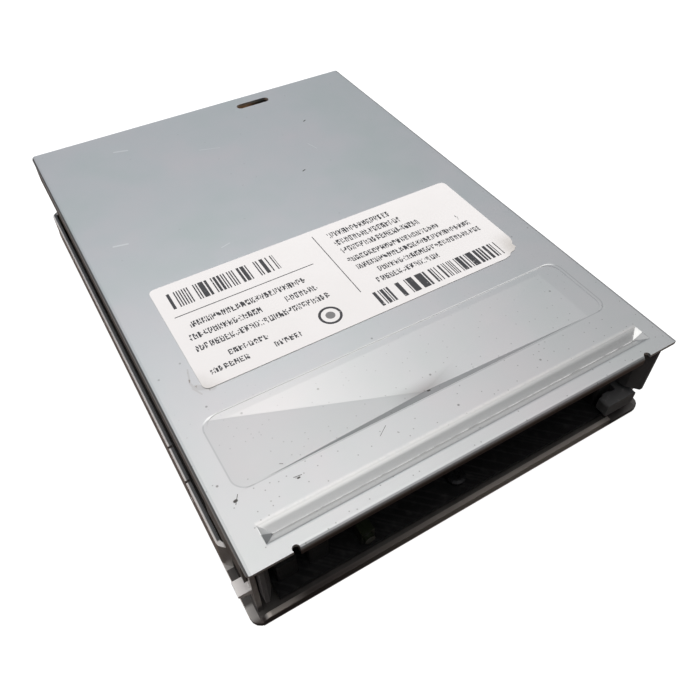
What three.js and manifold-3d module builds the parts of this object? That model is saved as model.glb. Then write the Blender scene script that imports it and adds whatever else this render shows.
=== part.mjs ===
// A 3.5 inch floppy disk drive, one inch high, the bare unit without a bezel.
// Millimetres, +X to the right seen from the front, +Y to the rear, +Z up.
// The origin is under the middle of the drive, on the surface it rests on.
// At rest the drive holds no disk: the slide is pushed in, the carrier is raised and the head is lifted.
import * as THREE from 'three';
import { mergeVertices } from 'three/addons/utils/BufferGeometryUtils.js';
import { ConvexGeometry } from 'three/addons/geometries/ConvexGeometry.js';
import Module from 'manifold-3d';

const wasm = await Module();
wasm.setup();

// Driving dimensions
const width = 101.6;
const connectorReach = 2.6;
const fit = 0.3;
const overrun = 1;
const coverSheet = 0.8;
const floorSheet = 1.2;
const wallSheet = 1;
const slideSheet = 0.8;
const carrierSheet = 0.8;

// The disk that the drive takes, where it lies once it has dropped onto the hub, and the room behind it
const disk = { length: 94, thickness: 3.3, fromFront: 1, hubShare: 0.47872, bottom: 10.7, media: 0.4 };
const behindDisk = 47.4;
const coverLength = disk.fromFront + disk.length + behindDisk;
const front = -(coverLength + connectorReach) / 2;
const rear = front + coverLength;
const diskBack = front + disk.fromFront + disk.length;
const spindleY = diskBack - disk.length * disk.hubShare;

// The eject motion: the slide runs forward and its ramps let the carrier down
const slideTravel = 7;
const carrierDrop = 3.5;

// The head motion: 79 steps of 18 degrees on the lead screw
const trackPitch = 0.1875;
const tracks = 79;
const stepDegrees = 18;
const screwLead = trackPitch * 360 / stepDegrees;
const headTravel = trackPitch * tracks;
const trackZeroRadius = 39.5;
const headY = spindleY + trackZeroRadius;
const armLiftDegrees = 12;

const finishes = {
  zincSteel: [0xb9bfc4, 0.42, 0.75],
  chassisSteel: [0xa7a39c, 0.38, 0.85],
  carrierSteel: [0xb0b2b4, 0.35, 0.85],
  brightSteel: [0xc9cbcd, 0.22, 0.95],
  screwSteel: [0xa9abad, 0.3, 0.9],
  blackPlastic: [0x17181a, 0.5, 0],
  greyPlastic: [0x6d6f70, 0.55, 0],
  ivoryPlastic: [0xd8d2c0, 0.5, 0],
  aluminium: [0xbfc1c3, 0.4, 0.8],
  brass: [0xb89a54, 0.35, 0.9],
  ceramic: [0x2c2a2b, 0.3, 0],
  greenBoard: [0x1f4f38, 0.5, 0],
  blackBoard: [0x141415, 0.5, 0],
  amberFilm: [0xa8672a, 0.4, 0],
  magnet: [0x2a2a2c, 0.6, 0.1],
  smokyLens: [0x3a4530, 0.2, 0],
};

function finish(name) {
  const [color, roughness, metalness] = finishes[name];
  return new THREE.MeshStandardMaterial({ color, roughness, metalness });
}

// Two places in rising order, for a side that may be mirrored
function ordered(a, b) {
  return a < b ? [a, b] : [b, a];
}

// Geometry to solid and back

const weld = 1e-4;

function solid(geometry) {
  const plain = geometry.clone();
  plain.deleteAttribute('normal');
  plain.deleteAttribute('uv');
  const merged = mergeVertices(plain, weld);
  return new wasm.Manifold(new wasm.Mesh({
    numProp: 3,
    vertProperties: new Float32Array(merged.attributes.position.array),
    triVerts: new Uint32Array(merged.index.array),
  }));
}

function join(...solids) {
  return solids.reduce((whole, next) => whole.add(next));
}

function cut(whole, ...tools) {
  return tools.reduce((left, tool) => left.subtract(tool), whole);
}

function meshOf(body) {
  const data = body.getMesh();
  const geometry = new THREE.BufferGeometry();
  geometry.setAttribute('position', new THREE.BufferAttribute(new Float32Array(data.vertProperties), 3));
  geometry.setIndex(new THREE.BufferAttribute(new Uint32Array(data.triVerts), 1));
  geometry.computeVertexNormals();
  return geometry;
}

function piece(name, body, finishName) {
  const mesh = new THREE.Mesh(meshOf(body), finish(finishName));
  mesh.name = name;
  return mesh;
}

// Basic shapes, placed by their faces

function blockGeometry(x0, x1, y0, y1, z0, z1) {
  const geometry = new THREE.BoxGeometry(Math.abs(x1 - x0), Math.abs(y1 - y0), Math.abs(z1 - z0));
  return geometry.translate((x0 + x1) / 2, (y0 + y1) / 2, (z0 + z1) / 2);
}

function block(x0, x1, y0, y1, z0, z1) {
  return solid(blockGeometry(x0, x1, y0, y1, z0, z1));
}

function outline(points) {
  const shape = new THREE.Shape();
  points.forEach(([u, v], index) => (index ? shape.lineTo(u, v) : shape.moveTo(u, v)));
  shape.closePath();
  return shape;
}

function roundedRect(u0, u1, v0, v1, radius) {
  const shape = new THREE.Shape();
  shape.absarc(u1 - radius, v1 - radius, radius, 0, Math.PI / 2);
  shape.absarc(u0 + radius, v1 - radius, radius, Math.PI / 2, Math.PI);
  shape.absarc(u0 + radius, v0 + radius, radius, Math.PI, Math.PI * 1.5);
  shape.absarc(u1 - radius, v0 + radius, radius, Math.PI * 1.5, Math.PI * 2);
  shape.closePath();
  return shape;
}

function extrude(shape, depth, curveSegments = 2) {
  return new THREE.ExtrudeGeometry(shape, { depth, bevelEnabled: false, curveSegments });
}

// An outline in X and Y, raised from z0 to z1
function raise(shape, z0, z1, curveSegments) {
  return solid(extrude(shape, z1 - z0, curveSegments).translate(0, 0, z0));
}

// An outline in Y and Z, run along X
function runX(shape, x0, x1, curveSegments) {
  const geometry = extrude(shape, x1 - x0, curveSegments);
  const turn = new THREE.Matrix4().makeBasis(
    new THREE.Vector3(0, 1, 0), new THREE.Vector3(0, 0, 1), new THREE.Vector3(1, 0, 0));
  return solid(geometry.applyMatrix4(turn).translate(x0, 0, 0));
}

// An outline in X and Z, run along Y
function runY(shape, y0, y1, curveSegments) {
  const geometry = extrude(shape, y1 - y0, curveSegments).rotateX(Math.PI / 2);
  return solid(geometry.translate(0, y1, 0));
}

function rodX(y, z, radius, x0, x1, sides = 12) {
  const geometry = new THREE.CylinderGeometry(radius, radius, x1 - x0, sides).rotateZ(Math.PI / 2);
  return solid(geometry.translate((x0 + x1) / 2, y, z));
}

function rodY(x, z, radius, y0, y1, sides = 16) {
  const geometry = new THREE.CylinderGeometry(radius, radius, y1 - y0, sides);
  return solid(geometry.translate(x, (y0 + y1) / 2, z));
}

function rodZ(x, y, radius, z0, z1, sides = 16) {
  const geometry = new THREE.CylinderGeometry(radius, radius, z1 - z0, sides).rotateX(Math.PI / 2);
  return solid(geometry.translate(x, y, (z0 + z1) / 2));
}

// A round slot in X and Y, from one end's centre to the other's
function slotOutline(x0, y0, x1, y1, radius) {
  const angle = Math.atan2(y1 - y0, x1 - x0);
  const shape = new THREE.Shape();
  shape.absarc(x1, y1, radius, angle - Math.PI / 2, angle + Math.PI / 2);
  shape.absarc(x0, y0, radius, angle + Math.PI / 2, angle + Math.PI * 1.5);
  shape.closePath();
  return shape;
}

function convex(points) {
  return solid(new ConvexGeometry(points.map(([x, y, z]) => new THREE.Vector3(x, y, z))));
}

// A strip of even thickness along a line of points in a plane
function ribbon(points, thickness) {
  const left = [];
  const right = [];
  points.forEach(([u, v], index) => {
    const [u0, v0] = points[Math.max(index - 1, 0)];
    const [u1, v1] = points[Math.min(index + 1, points.length - 1)];
    const reach = Math.hypot(u1 - u0, v1 - v0);
    const du = -(v1 - v0) / reach * thickness / 2;
    const dv = (u1 - u0) / reach * thickness / 2;
    left.push([u + du, v + dv]);
    right.unshift([u - du, v - dv]);
  });
  return outline([...left, ...right]);
}

// A round wire along a line of points
function wire(points, radius, sides, steps) {
  const path = new THREE.CatmullRomCurve3(points.map(([x, y, z]) => new THREE.Vector3(x, y, z)));
  const section = new THREE.Shape();
  for (let side = 0; side < sides; side += 1) {
    const angle = side / sides * Math.PI * 2;
    const corner = [radius * Math.cos(angle), radius * Math.sin(angle)];
    if (side) section.lineTo(...corner);
    else section.moveTo(...corner);
  }
  section.closePath();
  return solid(new THREE.ExtrudeGeometry(section, { steps, bevelEnabled: false, extrudePath: path }));
}

// The least gap that a wire leaves to itself, over points that are some steps apart along it
function leastGap(points, radius, steps) {
  const gaps = points.flatMap(([x0, y0, z0], index) => points.slice(index + steps).map(
    ([x1, y1, z1]) => Math.hypot(x1 - x0, y1 - y0, z1 - z0)));
  return Math.min(...gaps) - radius * 2;
}

// Heights that the pieces share, from the floor up, with no disk in
const floorTop = floorSheet;
const boardLift = 0.5;
const boardBottom = floorTop + boardLift + fit;
const motorBoardSheet = 1.2;
const mainBoardSheet = 1.6;
const motorBoardTop = boardBottom + motorBoardSheet;
const mainBoardTop = boardBottom + mainBoardSheet;
const partBottom = mainBoardTop + fit;
const diskClearance = 1.5;
const carrierFloorTop = disk.bottom + carrierDrop;
const carrierFloor = carrierFloorTop - carrierSheet;
const carrierRoofUnder = carrierFloorTop + disk.thickness + diskClearance;
const carrierRoof = carrierRoofUnder + carrierSheet;

// The room for the lifted head over the carrier brings the drive to its bay's 25.4
const aboveCarrier = 4.8;
const coverUnder = carrierRoof + aboveCarrier;
const height = coverUnder + coverSheet;
const wallTop = coverUnder - fit;

// Widths that the pieces share, from the outside in
const coverSetback = 0.8;
const coverOuter = width / 2 - coverSetback;
const coverInner = coverOuter - coverSheet;
const wallOuter = coverInner - fit;
const wallInner = wallOuter - wallSheet;
const slideOuter = wallInner - fit;
const slideInner = slideOuter - slideSheet;
const carrierGap = 0.4;
const carrierOuter = slideInner - carrierGap;
const carrierInner = carrierOuter - carrierSheet;

// Where the carrier lies, and the pins that hang it in the slide and the chassis
const carrierSetback = 7;
const carrierTail = 11.5;
const carrierFront = front + carrierSetback;
const carrierBack = diskBack + carrierTail;
const pin = { radius: 1, fromFront: 16, fromBack: 8 };
pin.height = (carrierFloorTop + carrierRoofUnder) / 2;
pin.y = [carrierFront + pin.fromFront, diskBack - pin.fromBack];
pin.tip = wallOuter - fit;
pin.slot = pin.radius + fit;

// The two slits on each side where the sheets were welded up, seen in cover and rail alike
const seamAt = { fromFront: 32, apart: 9.8 };
const seamYs = [0, 1].map((step) => front + seamAt.fromFront + step * seamAt.apart);

// Top cover: a drawn steel lid with a stiffening groove, a dished recess and folded edges
function topCover() {
  const bend = { radius: 1, steps: 3 };
  const flange = { depth: 5, frontSetback: 3, rearSetback: 4.5, relief: 0.5 };
  const tongue = { from: 3, to: 19, leftDepth: 7.9, rightDepth: 14.9 };
  const groove = { leftInset: 5.4, rightInset: 4.8, from: 3.5, to: 7.5, depth: 1.5, hip: 2.2 };
  groove.x0 = groove.leftInset - coverOuter;
  groove.x1 = coverOuter - groove.rightInset;
  groove.y0 = front + groove.from;
  groove.y1 = front + groove.to;
  const recess = { inset: 6, from: 14.9, to: 32.7, radius: 3, rim: 0.12, depth: 1.1, slope: 2.2, lowX: -3 };
  recess.x = coverOuter - recess.inset;
  recess.y0 = front + recess.from;
  recess.y1 = front + recess.to;
  recess.lowY = recess.y0 + recess.slope;
  const lip = { leftInset: 9.3, rightInset: 8.8, height: 2.2, notch: 0.75 };
  lip.x0 = lip.leftInset - coverOuter;
  lip.x1 = coverOuter - lip.rightInset;
  const slot = { left: 11.2, width: 10.6, beforeRear: 5.1, radius: 1.3 };
  slot.y = rear - slot.beforeRear;
  slot.right = slot.left + slot.width;
  const seam = { width: 0.7, height: 1.4 };
  const reliefs = [];

  const sheetTop = roundedRect(-coverOuter, coverOuter, front, rear, bend.radius);
  let lid = raise(sheetTop, coverUnder, height);
  const dishRim = roundedRect(-recess.x, recess.x, recess.y0, recess.y1, recess.radius);
  const dish = (top) => join(
    raise(dishRim, top - recess.rim, top + overrun),
    convex([
      [-recess.x, recess.y1, top], [recess.x, recess.y1, top], [recess.x, recess.y0, top],
      [-recess.x, recess.y0, top], [recess.lowX, recess.lowY, top - recess.depth],
      [-recess.x, recess.y1, top + overrun], [recess.x, recess.y1, top + overrun],
      [recess.x, recess.y0, top + overrun], [-recess.x, recess.y0, top + overrun],
    ]),
  );
  const grooveMiddle = (groove.y0 + groove.y1) / 2;
  const trough = (top, lift) => convex([
    [groove.x0, groove.y0, top], [groove.x1, groove.y0, top], [groove.x1, groove.y1, top],
    [groove.x0, groove.y1, top], [groove.x0 + groove.hip, grooveMiddle, top - groove.depth],
    [groove.x1 - groove.hip, grooveMiddle, top - groove.depth],
    [groove.x0, groove.y0, top + lift], [groove.x1, groove.y0, top + lift],
    [groove.x1, groove.y1, top + lift], [groove.x0, groove.y1, top + lift],
  ]);
  // The dish bulges through the underside, a sheet's thickness lower
  const grown = roundedRect(-recess.x - coverSheet, recess.x + coverSheet, recess.y0 - coverSheet,
    recess.y1 + coverSheet, recess.radius);
  lid = join(
    lid,
    raise(grown, coverUnder - recess.rim, coverUnder + coverSheet / 2),
    convex([
      [-recess.x, recess.y1, coverUnder], [recess.x, recess.y1, coverUnder],
      [recess.x, recess.y0 - coverSheet, coverUnder], [-recess.x, recess.y0 - coverSheet, coverUnder],
      [recess.lowX, recess.lowY, coverUnder - recess.depth],
      [recess.lowX, recess.y0 + recess.slope / 2, coverUnder - recess.depth],
    ]),
    trough(coverUnder, coverSheet / 2),
  );
  lid = cut(lid, dish(height), trough(height, overrun));

  // The folded sides: an L section on each side, its corner bent to a radius
  for (const side of [-1, 1]) {
    const corner = [];
    for (let step = 0; step <= bend.steps; step += 1) {
      const angle = step / bend.steps * Math.PI / 2;
      corner.push([
        side * (coverOuter - bend.radius + bend.radius * Math.sin(angle)),
        height - bend.radius + bend.radius * Math.cos(angle),
      ]);
    }
    const sideOutline = (bottom) => outline([
      [side * coverInner, height - bend.radius], ...corner.slice(1),
      [side * coverOuter, bottom], [side * coverInner, bottom],
    ]);
    const tongueDepth = side < 0 ? tongue.leftDepth : tongue.rightDepth;
    lid = join(
      lid,
      runY(sideOutline(height - flange.depth), front + flange.frontSetback, rear - flange.rearSetback),
      runY(sideOutline(height - tongueDepth), front + tongue.from, front + tongue.to),
    );
    // The long edges are rounded off along the whole bend
    const rounding = outline([
      [side * (coverOuter + overrun), height + overrun], [side * (coverOuter - bend.radius), height + overrun],
      ...corner, [side * (coverOuter + overrun), height - bend.radius],
    ]);
    lid = cut(lid, runY(rounding, front - overrun, rear + overrun));
    for (const y of [front + flange.frontSetback, rear - flange.rearSetback]) {
      reliefs.push(block(side * (coverInner - flange.relief), side * (coverOuter + overrun),
        y - flange.relief, y + flange.relief, coverUnder - overrun, height - bend.radius));
    }
    for (const y of seamYs) {
      const seamTop = height - flange.depth + seam.height;
      reliefs.push(block(side * (coverInner - overrun), side * (coverOuter + overrun),
        y - seam.width / 2, y + seam.width / 2, height - flange.depth - overrun, seamTop));
    }
  }

  // The front lip, folded down between two round bend notches
  const lipSection = new THREE.Shape();
  lipSection.moveTo(front + coverSheet, height - lip.height);
  lipSection.lineTo(front, height - lip.height);
  lipSection.lineTo(front, height - bend.radius);
  lipSection.absarc(front + bend.radius, height - bend.radius, bend.radius, Math.PI, Math.PI / 2, true);
  lipSection.lineTo(front + bend.radius, coverUnder);
  lipSection.lineTo(front + coverSheet, coverUnder);
  lipSection.closePath();
  const bendShare = 1 - Math.SQRT1_2;
  const lipEdge = outline([
    [front - overrun, height + overrun], [front - overrun, height - bend.radius],
    [front, height - bend.radius], [front + bendShare * bend.radius, height - bendShare * bend.radius],
    [front + bend.radius, height], [front + bend.radius, height + overrun],
  ]);
  lid = join(cut(lid, runX(lipEdge, lip.x0, lip.x1)), runX(lipSection, lip.x0, lip.x1));
  for (const x of [lip.x0, lip.x1]) {
    reliefs.push(rodZ(x, front + lip.notch / 2, lip.notch, height - lip.height - overrun, height + overrun, 12));
  }
  reliefs.push(raise(slotOutline(slot.left + slot.radius, slot.y, slot.right - slot.radius, slot.y, slot.radius),
    coverUnder - overrun, height + overrun, 4));
  return piece('top_cover', cut(lid, ...reliefs), 'zincSteel');
}

// Chassis: the pressed steel tray with its side rails
const chassisSetback = { front: 1.2, rear: 1 };
const chassisFront = front + chassisSetback.front;
const chassisBack = rear - chassisSetback.rear;
const post = { inset: 5.8, beforeSpindle: 5, width: 2.4, sheet: 0.8, top: 7 };
post.x = slideInner - post.inset;
post.y = spindleY - post.beforeSpindle;
const railHole = { fromFront: 31, beforeRear: 21.4, apart: 30, z: 5, radius: 1.5 };
railHole.ys = [
  front + railHole.fromFront, rear - railHole.beforeRear - railHole.apart, rear - railHole.beforeRear,
];
const dataPlug = { left: 1.4, sideGap: 2.7, bottom: partBottom, height: 8.8 };
dataPlug.right = wallInner - dataPlug.sideGap;
dataPlug.top = dataPlug.bottom + dataPlug.height;
const powerPlug = { sideGap: 2.9, width: 11.6, bottom: partBottom, height: 6.4 };
powerPlug.left = powerPlug.sideGap - wallInner;
powerPlug.right = powerPlug.left + powerPlug.width;
powerPlug.top = powerPlug.bottom + powerPlug.height;

function chassis() {
  const cornerRadius = 2.4;
  const rail = { height: 9.5, from: 16.5, rearEnd: 6, run: 2.6, steps: 6, slit: 1.4 };
  rail.y0 = front + rail.from;
  rail.y1 = chassisBack - rail.rearEnd;
  const lip = { leftInset: 1.8, rightInset: 10.1, height: 2.5, radius: 2 };
  lip.left = lip.leftInset - width / 2;
  lip.right = width / 2 - lip.rightInset;
  const ear = { from: 4.5, to: 7.7, reach: 0.7, top: 10, sheet: 0.8, gusset: 1.6 };
  const seam = { width: 0.6, depth: 4 };
  const boss = { radius: 2.6 };
  const floorSlot = {
    radius: 3, width: 12, spindleX: 12, ahead: 40, length: 20, driveX: 26, lap: 2, driveLength: 30,
    middleLap: 12, middleLength: 34,
  };
  floorSlot.pairs = [
    [floorSlot.spindleX, spindleY - floorSlot.ahead, spindleY - floorSlot.ahead + floorSlot.length],
    [floorSlot.driveX, diskBack - floorSlot.lap, diskBack - floorSlot.lap + floorSlot.driveLength],
  ];
  const middleFront = diskBack - floorSlot.middleLap;
  const wallMiddle = (wallInner + wallOuter) / 2;
  const railMiddle = width / 2 - wallSheet / 2;
  const frontEnd = chassisFront + cornerRadius;
  const tools = [];

  let tray = raise(roundedRect(-width / 2, width / 2, chassisFront, chassisBack, cornerRadius), 0, floorTop);
  // The lip along the front, with a rounded left end
  const lipShape = new THREE.Shape();
  lipShape.moveTo(lip.left, 0);
  lipShape.lineTo(lip.right, 0);
  lipShape.lineTo(lip.right, lip.height);
  lipShape.lineTo(lip.left + lip.radius, lip.height);
  lipShape.absarc(lip.left + lip.radius, lip.height - lip.radius, lip.radius, Math.PI / 2, Math.PI, false);
  lipShape.closePath();
  tray = join(tray, runY(lipShape, chassisFront, chassisFront + wallSheet));

  for (const side of [-1, 1]) {
    // The rail stands outboard of the wall and swings back into it at both ends
    const swing = (y, direction) => {
      const points = [];
      for (let step = 0; step <= rail.steps; step += 1) {
        const share = step / rail.steps;
        const ease = (1 - Math.cos(share * Math.PI)) / 2;
        const middle = wallMiddle + (railMiddle - wallMiddle) * ease;
        points.push([side * middle, y + direction * rail.run * share]);
      }
      return points;
    };
    const line = [...swing(rail.y0 - rail.run, 1), ...swing(rail.y1 + rail.run, -1).reverse()];
    const wallX0 = side * wallInner;
    const wallX1 = side * wallOuter;
    tray = join(
      tray,
      raise(ribbon(line, wallSheet), floorTop / 2, rail.height),
      block(wallX0, wallX1, rail.y0 - rail.run, rail.y1 + rail.run, rail.height + rail.slit, wallTop),
      block(wallX0, wallX1, frontEnd, rail.y0 - rail.run + wallSheet, floorTop / 2, wallTop),
      block(wallX0, wallX1, rail.y1 + rail.run - wallSheet, chassisBack, floorTop / 2, wallTop),
    );
    // The bezel ear: a tab bent out of the wall near the front
    const earOutline = outline([
      [side * wallInner, ear.top], [side * (width / 2 + ear.reach), ear.top],
      [side * (width / 2 + ear.reach), ear.top - ear.sheet], [side * wallOuter, ear.top - ear.gusset],
      [side * wallInner, ear.top - ear.gusset],
    ]);
    tray = join(tray, runY(earOutline, front + ear.from, front + ear.to));
    // The post that holds the return spring
    tray = join(tray, block(side * (post.x - post.width / 2), side * (post.x + post.width / 2),
      post.y - post.sheet, post.y, floorTop / 2, post.top));
    for (const y of seamYs) {
      tools.push(block(side * (railMiddle - wallSheet), side * (railMiddle + wallSheet),
        y - seam.width / 2, y + seam.width / 2, rail.height - seam.depth, rail.height + overrun / 2));
    }
    for (const y of railHole.ys) {
      tools.push(rodX(y, railHole.z, railHole.radius,
        ...ordered(side * (wallOuter + fit), side * (width / 2 + overrun))));
    }
    // The upright slots that keep the carrier's pins from going forward or back
    for (const y of pin.y) {
      const upright = slotOutline(y, pin.height - carrierDrop, y, pin.height, pin.slot);
      const [x0, x1] = ordered(side * (wallInner - fit), side * (wallOuter + fit));
      tools.push(runX(upright, x0, x1, 4));
    }
    for (const [x, y0, y1] of floorSlot.pairs) {
      const [x0, x1] = ordered(side * x, side * (x + floorSlot.width));
      tools.push(raise(roundedRect(x0, x1, y0, y1, floorSlot.radius), -overrun, floorTop + overrun));
    }
  }
  tools.push(rodZ(0, spindleY, floorSlot.width / 2, -overrun, floorTop + overrun, 24));
  tools.push(raise(roundedRect(-floorSlot.width / 2, floorSlot.width / 2, middleFront,
    middleFront + floorSlot.middleLength, floorSlot.radius), -overrun, floorTop + overrun));

  // The back wall, open behind the two connectors
  tray = join(tray, block(-wallInner - wallSheet / 2, wallInner + wallSheet / 2,
    chassisBack - wallSheet, chassisBack, floorTop / 2, wallTop));
  for (const plug of [dataPlug, powerPlug]) {
    tools.push(block(plug.left - fit, plug.right + fit, chassisBack - wallSheet - overrun, chassisBack + overrun,
      plug.bottom - fit, plug.top + fit));
  }
  for (const [x, y] of [...motorScrews, ...boardScrews]) {
    tray = join(tray, rodZ(x, y, boss.radius, floorTop / 2, floorTop + boardLift, 12));
    tools.push(rodZ(x, y, screw.tap, -overrun, floorTop + boardLift + overrun, 8));
  }
  return piece('chassis', cut(tray, ...tools), 'chassisSteel');
}

// The front corners' entry guides: moulded wedges that lead a disk between the carrier's sides
function entryGuide(name, side) {
  const guide = { behind: 0.5, length: 5.4, bottom: 8, below: 0.6, flare: 1.5, taper: 1.4 };
  const back = carrierFront - guide.behind;
  const tip = back - guide.length;
  const outer = wallInner - fit;
  const inner = carrierInner - fit;
  const plan = outline([
    [side * outer, back], [side * inner, back], [side * inner, back - guide.length / 2],
    [side * (inner + guide.flare), tip], [side * outer, tip],
  ]);
  const body = raise(plan, guide.bottom, wallTop - guide.below);
  // The underside runs up to the front, so that the wedge tapers seen from outside
  const lean = outline([
    [tip - overrun, guide.bottom - overrun], [tip - overrun, guide.bottom + guide.taper],
    [tip, guide.bottom + guide.taper], [back, guide.bottom], [back, guide.bottom - overrun],
  ]);
  return piece(name, cut(body, runX(lean, ...ordered(side * (outer + overrun), side * (inner - overrun)))),
    'greyPlastic');
}

// Eject slide: a sheet frame, its two flanges cut with the four ramps
const slide = {
  setback: 7,
  tail: 4,
  bottom: motorBoardTop + fit,
  hook: { run: 29.8, sheet: 0.8, low: 0.9, high: 3.3 },
};
slide.front = carrierFront + slide.setback;
slide.back = diskBack + slide.tail;

function ejectSlide() {
  const foot = { length: 8, inset: 2 };
  const flange = { waist: 11.6, margin: 1.8, slope: 8 };
  const ramp = { dwell: 0.6 };
  const window = { pitch: 28, width: 14, radius: 1, margin: 2.2 };
  const bridge = { beforeRotor: 4.5, depth: 8 };
  bridge.y1 = spindleY - rotor.radius - bridge.beforeRotor;
  bridge.y0 = bridge.y1 - bridge.depth;
  const { bottom, hook } = slide;
  const footBottom = floorTop + fit;
  const top = pin.height + pin.slot + flange.margin;
  const low = pin.height - carrierDrop;
  const [pinA, pinB] = pin.y;
  const reach = slideTravel + pin.slot + ramp.dwell + flange.margin / 2;
  const lead = pin.slot + ramp.dwell + flange.margin / 2;
  const footA = slide.front + foot.inset;
  const footB = slide.back - foot.inset;
  const flangeShape = outline([
    [slide.front, bottom], [footA, bottom], [footA, footBottom], [footA + foot.length, footBottom],
    [footA + foot.length, bottom], [footB - foot.length, bottom], [footB - foot.length, footBottom],
    [footB, footBottom], [footB, bottom], [slide.back, bottom], [slide.back, flange.waist],
    [pinB + reach, top], [pinB - lead, top], [pinB - lead - flange.slope, flange.waist],
    [pinA + reach + flange.slope, flange.waist], [pinA + reach, top], [pinA - lead, top],
    [slide.front, flange.waist],
  ]);
  const r = pin.slot;
  const rampShape = (y) => outline([
    [y - r, pin.height - r], [y + ramp.dwell / 2, pin.height - r], [y + slideTravel - r, low - r],
    [y + slideTravel + r, low - r], [y + slideTravel + r, low + r],
    [y + slideTravel - ramp.dwell / 2, low + r], [y + r, pin.height + r], [y - r, pin.height + r],
  ]);
  const parts = [raise(roundedRect(-slideOuter, slideOuter, bridge.y0, bridge.y1, slideSheet / 2),
    bottom, bottom + slideSheet, 1)];
  const tools = [];
  for (const side of [-1, 1]) {
    const [x0, x1] = ordered(side * slideInner, side * slideOuter);
    parts.push(runX(flangeShape, x0, x1));
    for (const y of pin.y) tools.push(runX(rampShape(y), x0 - overrun, x1 + overrun));
    // The tab that the return spring hooks onto
    parts.push(block(side * (post.x - post.width / 2), side * (slideInner + slideSheet / 2),
      post.y + hook.run, post.y + hook.run + hook.sheet, bottom + hook.low, bottom + hook.high));
  }
  for (const turn of [-1, 0, 1]) {
    const x = turn * window.pitch;
    tools.push(raise(roundedRect(x - window.width / 2, x + window.width / 2, bridge.y0 + window.margin,
      bridge.y1 - window.margin, window.radius), bottom - overrun, bottom + slideSheet + overrun, 1));
  }
  return piece('eject_slide', cut(join(...parts), ...tools), 'carrierSteel');
}

// Eject button: the moulded tongue on the slide's right side that a bezel's button would press
function ejectButton() {
  const face = { width: 8.8, setback: 2, thickness: 3, height: 3.9, radius: 0.8 };
  const stem = { width: 2.5, overlap: 6, raise: slideSheet + fit };
  const rib = { inset: 1.2, width: 2.2, reach: 0.4 };
  const faceLeft = slideOuter - face.width;
  const ribLeft = faceLeft + rib.inset;
  const y0 = front + face.setback;
  const y1 = y0 + face.thickness;
  const z0 = slide.bottom;
  const stemEnd = slideInner - fit;
  const body = join(
    runY(roundedRect(faceLeft, slideOuter, z0, z0 + face.height, face.radius), y0, y1),
    block(stemEnd - stem.width, stemEnd, y1 - face.thickness / 2, slide.front + stem.overlap,
      z0 + stem.raise, z0 + face.height),
    block(ribLeft, ribLeft + rib.width, y1 - face.thickness / 2, y1 + rib.reach, z0 + stem.raise, z0 + face.height),
  );
  return piece('eject_button', body, 'greyPlastic');
}

// A helical extension spring along Y, in one unbroken wire from end to end
function extensionSpring(name, x) {
  const coil = { radius: 1.6, wire: 0.28, tail: 4.5, height: 5.5 };
  const wound = { turns: 10, perTurn: 8, sides: 5 };
  const y0 = post.y + fit;
  const y1 = post.y + slide.hook.run - fit;
  const start = y0 + coil.tail;
  const run = y1 - y0 - coil.tail * 2;
  const count = wound.turns * wound.perTurn;
  const points = [[x, y0, coil.height], [x, y0 + coil.tail / 2, coil.height]];
  for (let step = 0; step <= count; step += 1) {
    const angle = step / wound.perTurn * Math.PI * 2;
    points.push([x + coil.radius * Math.sin(angle), start + run * step / count,
      coil.height + coil.radius * Math.cos(angle)]);
  }
  points.push([x, y1 - coil.tail / 2, coil.height], [x, y1, coil.height]);
  console.log(`${name}: ${leastGap(points, coil.wire, wound.perTurn / 2).toFixed(2)} mm between its turns`);
  return piece(name, wire(points, coil.wire, wound.sides, count + wound.perTurn), 'brightSteel');
}

// Shutter lever and its rivet: where it turns on the carrier's roof, and the arc that its pin sweeps
const lever = {
  inset: 7.6, ahead: 1, reach: 22, startDegrees: -70, sweepDegrees: 76.5,
  pin: 1.2, bottom: carrierRoof + fit, sheet: 0.8,
};
lever.x = lever.inset - carrierInner;
lever.y = diskBack - lever.ahead;
const rivet = { radius: 1.2, hole: 1.5, head: 2.4, headHeight: 0.6 };
const headWindow = { ahead: 6.5, half: 11 };
headWindow.front = headY - headTravel - headWindow.ahead;

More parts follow.
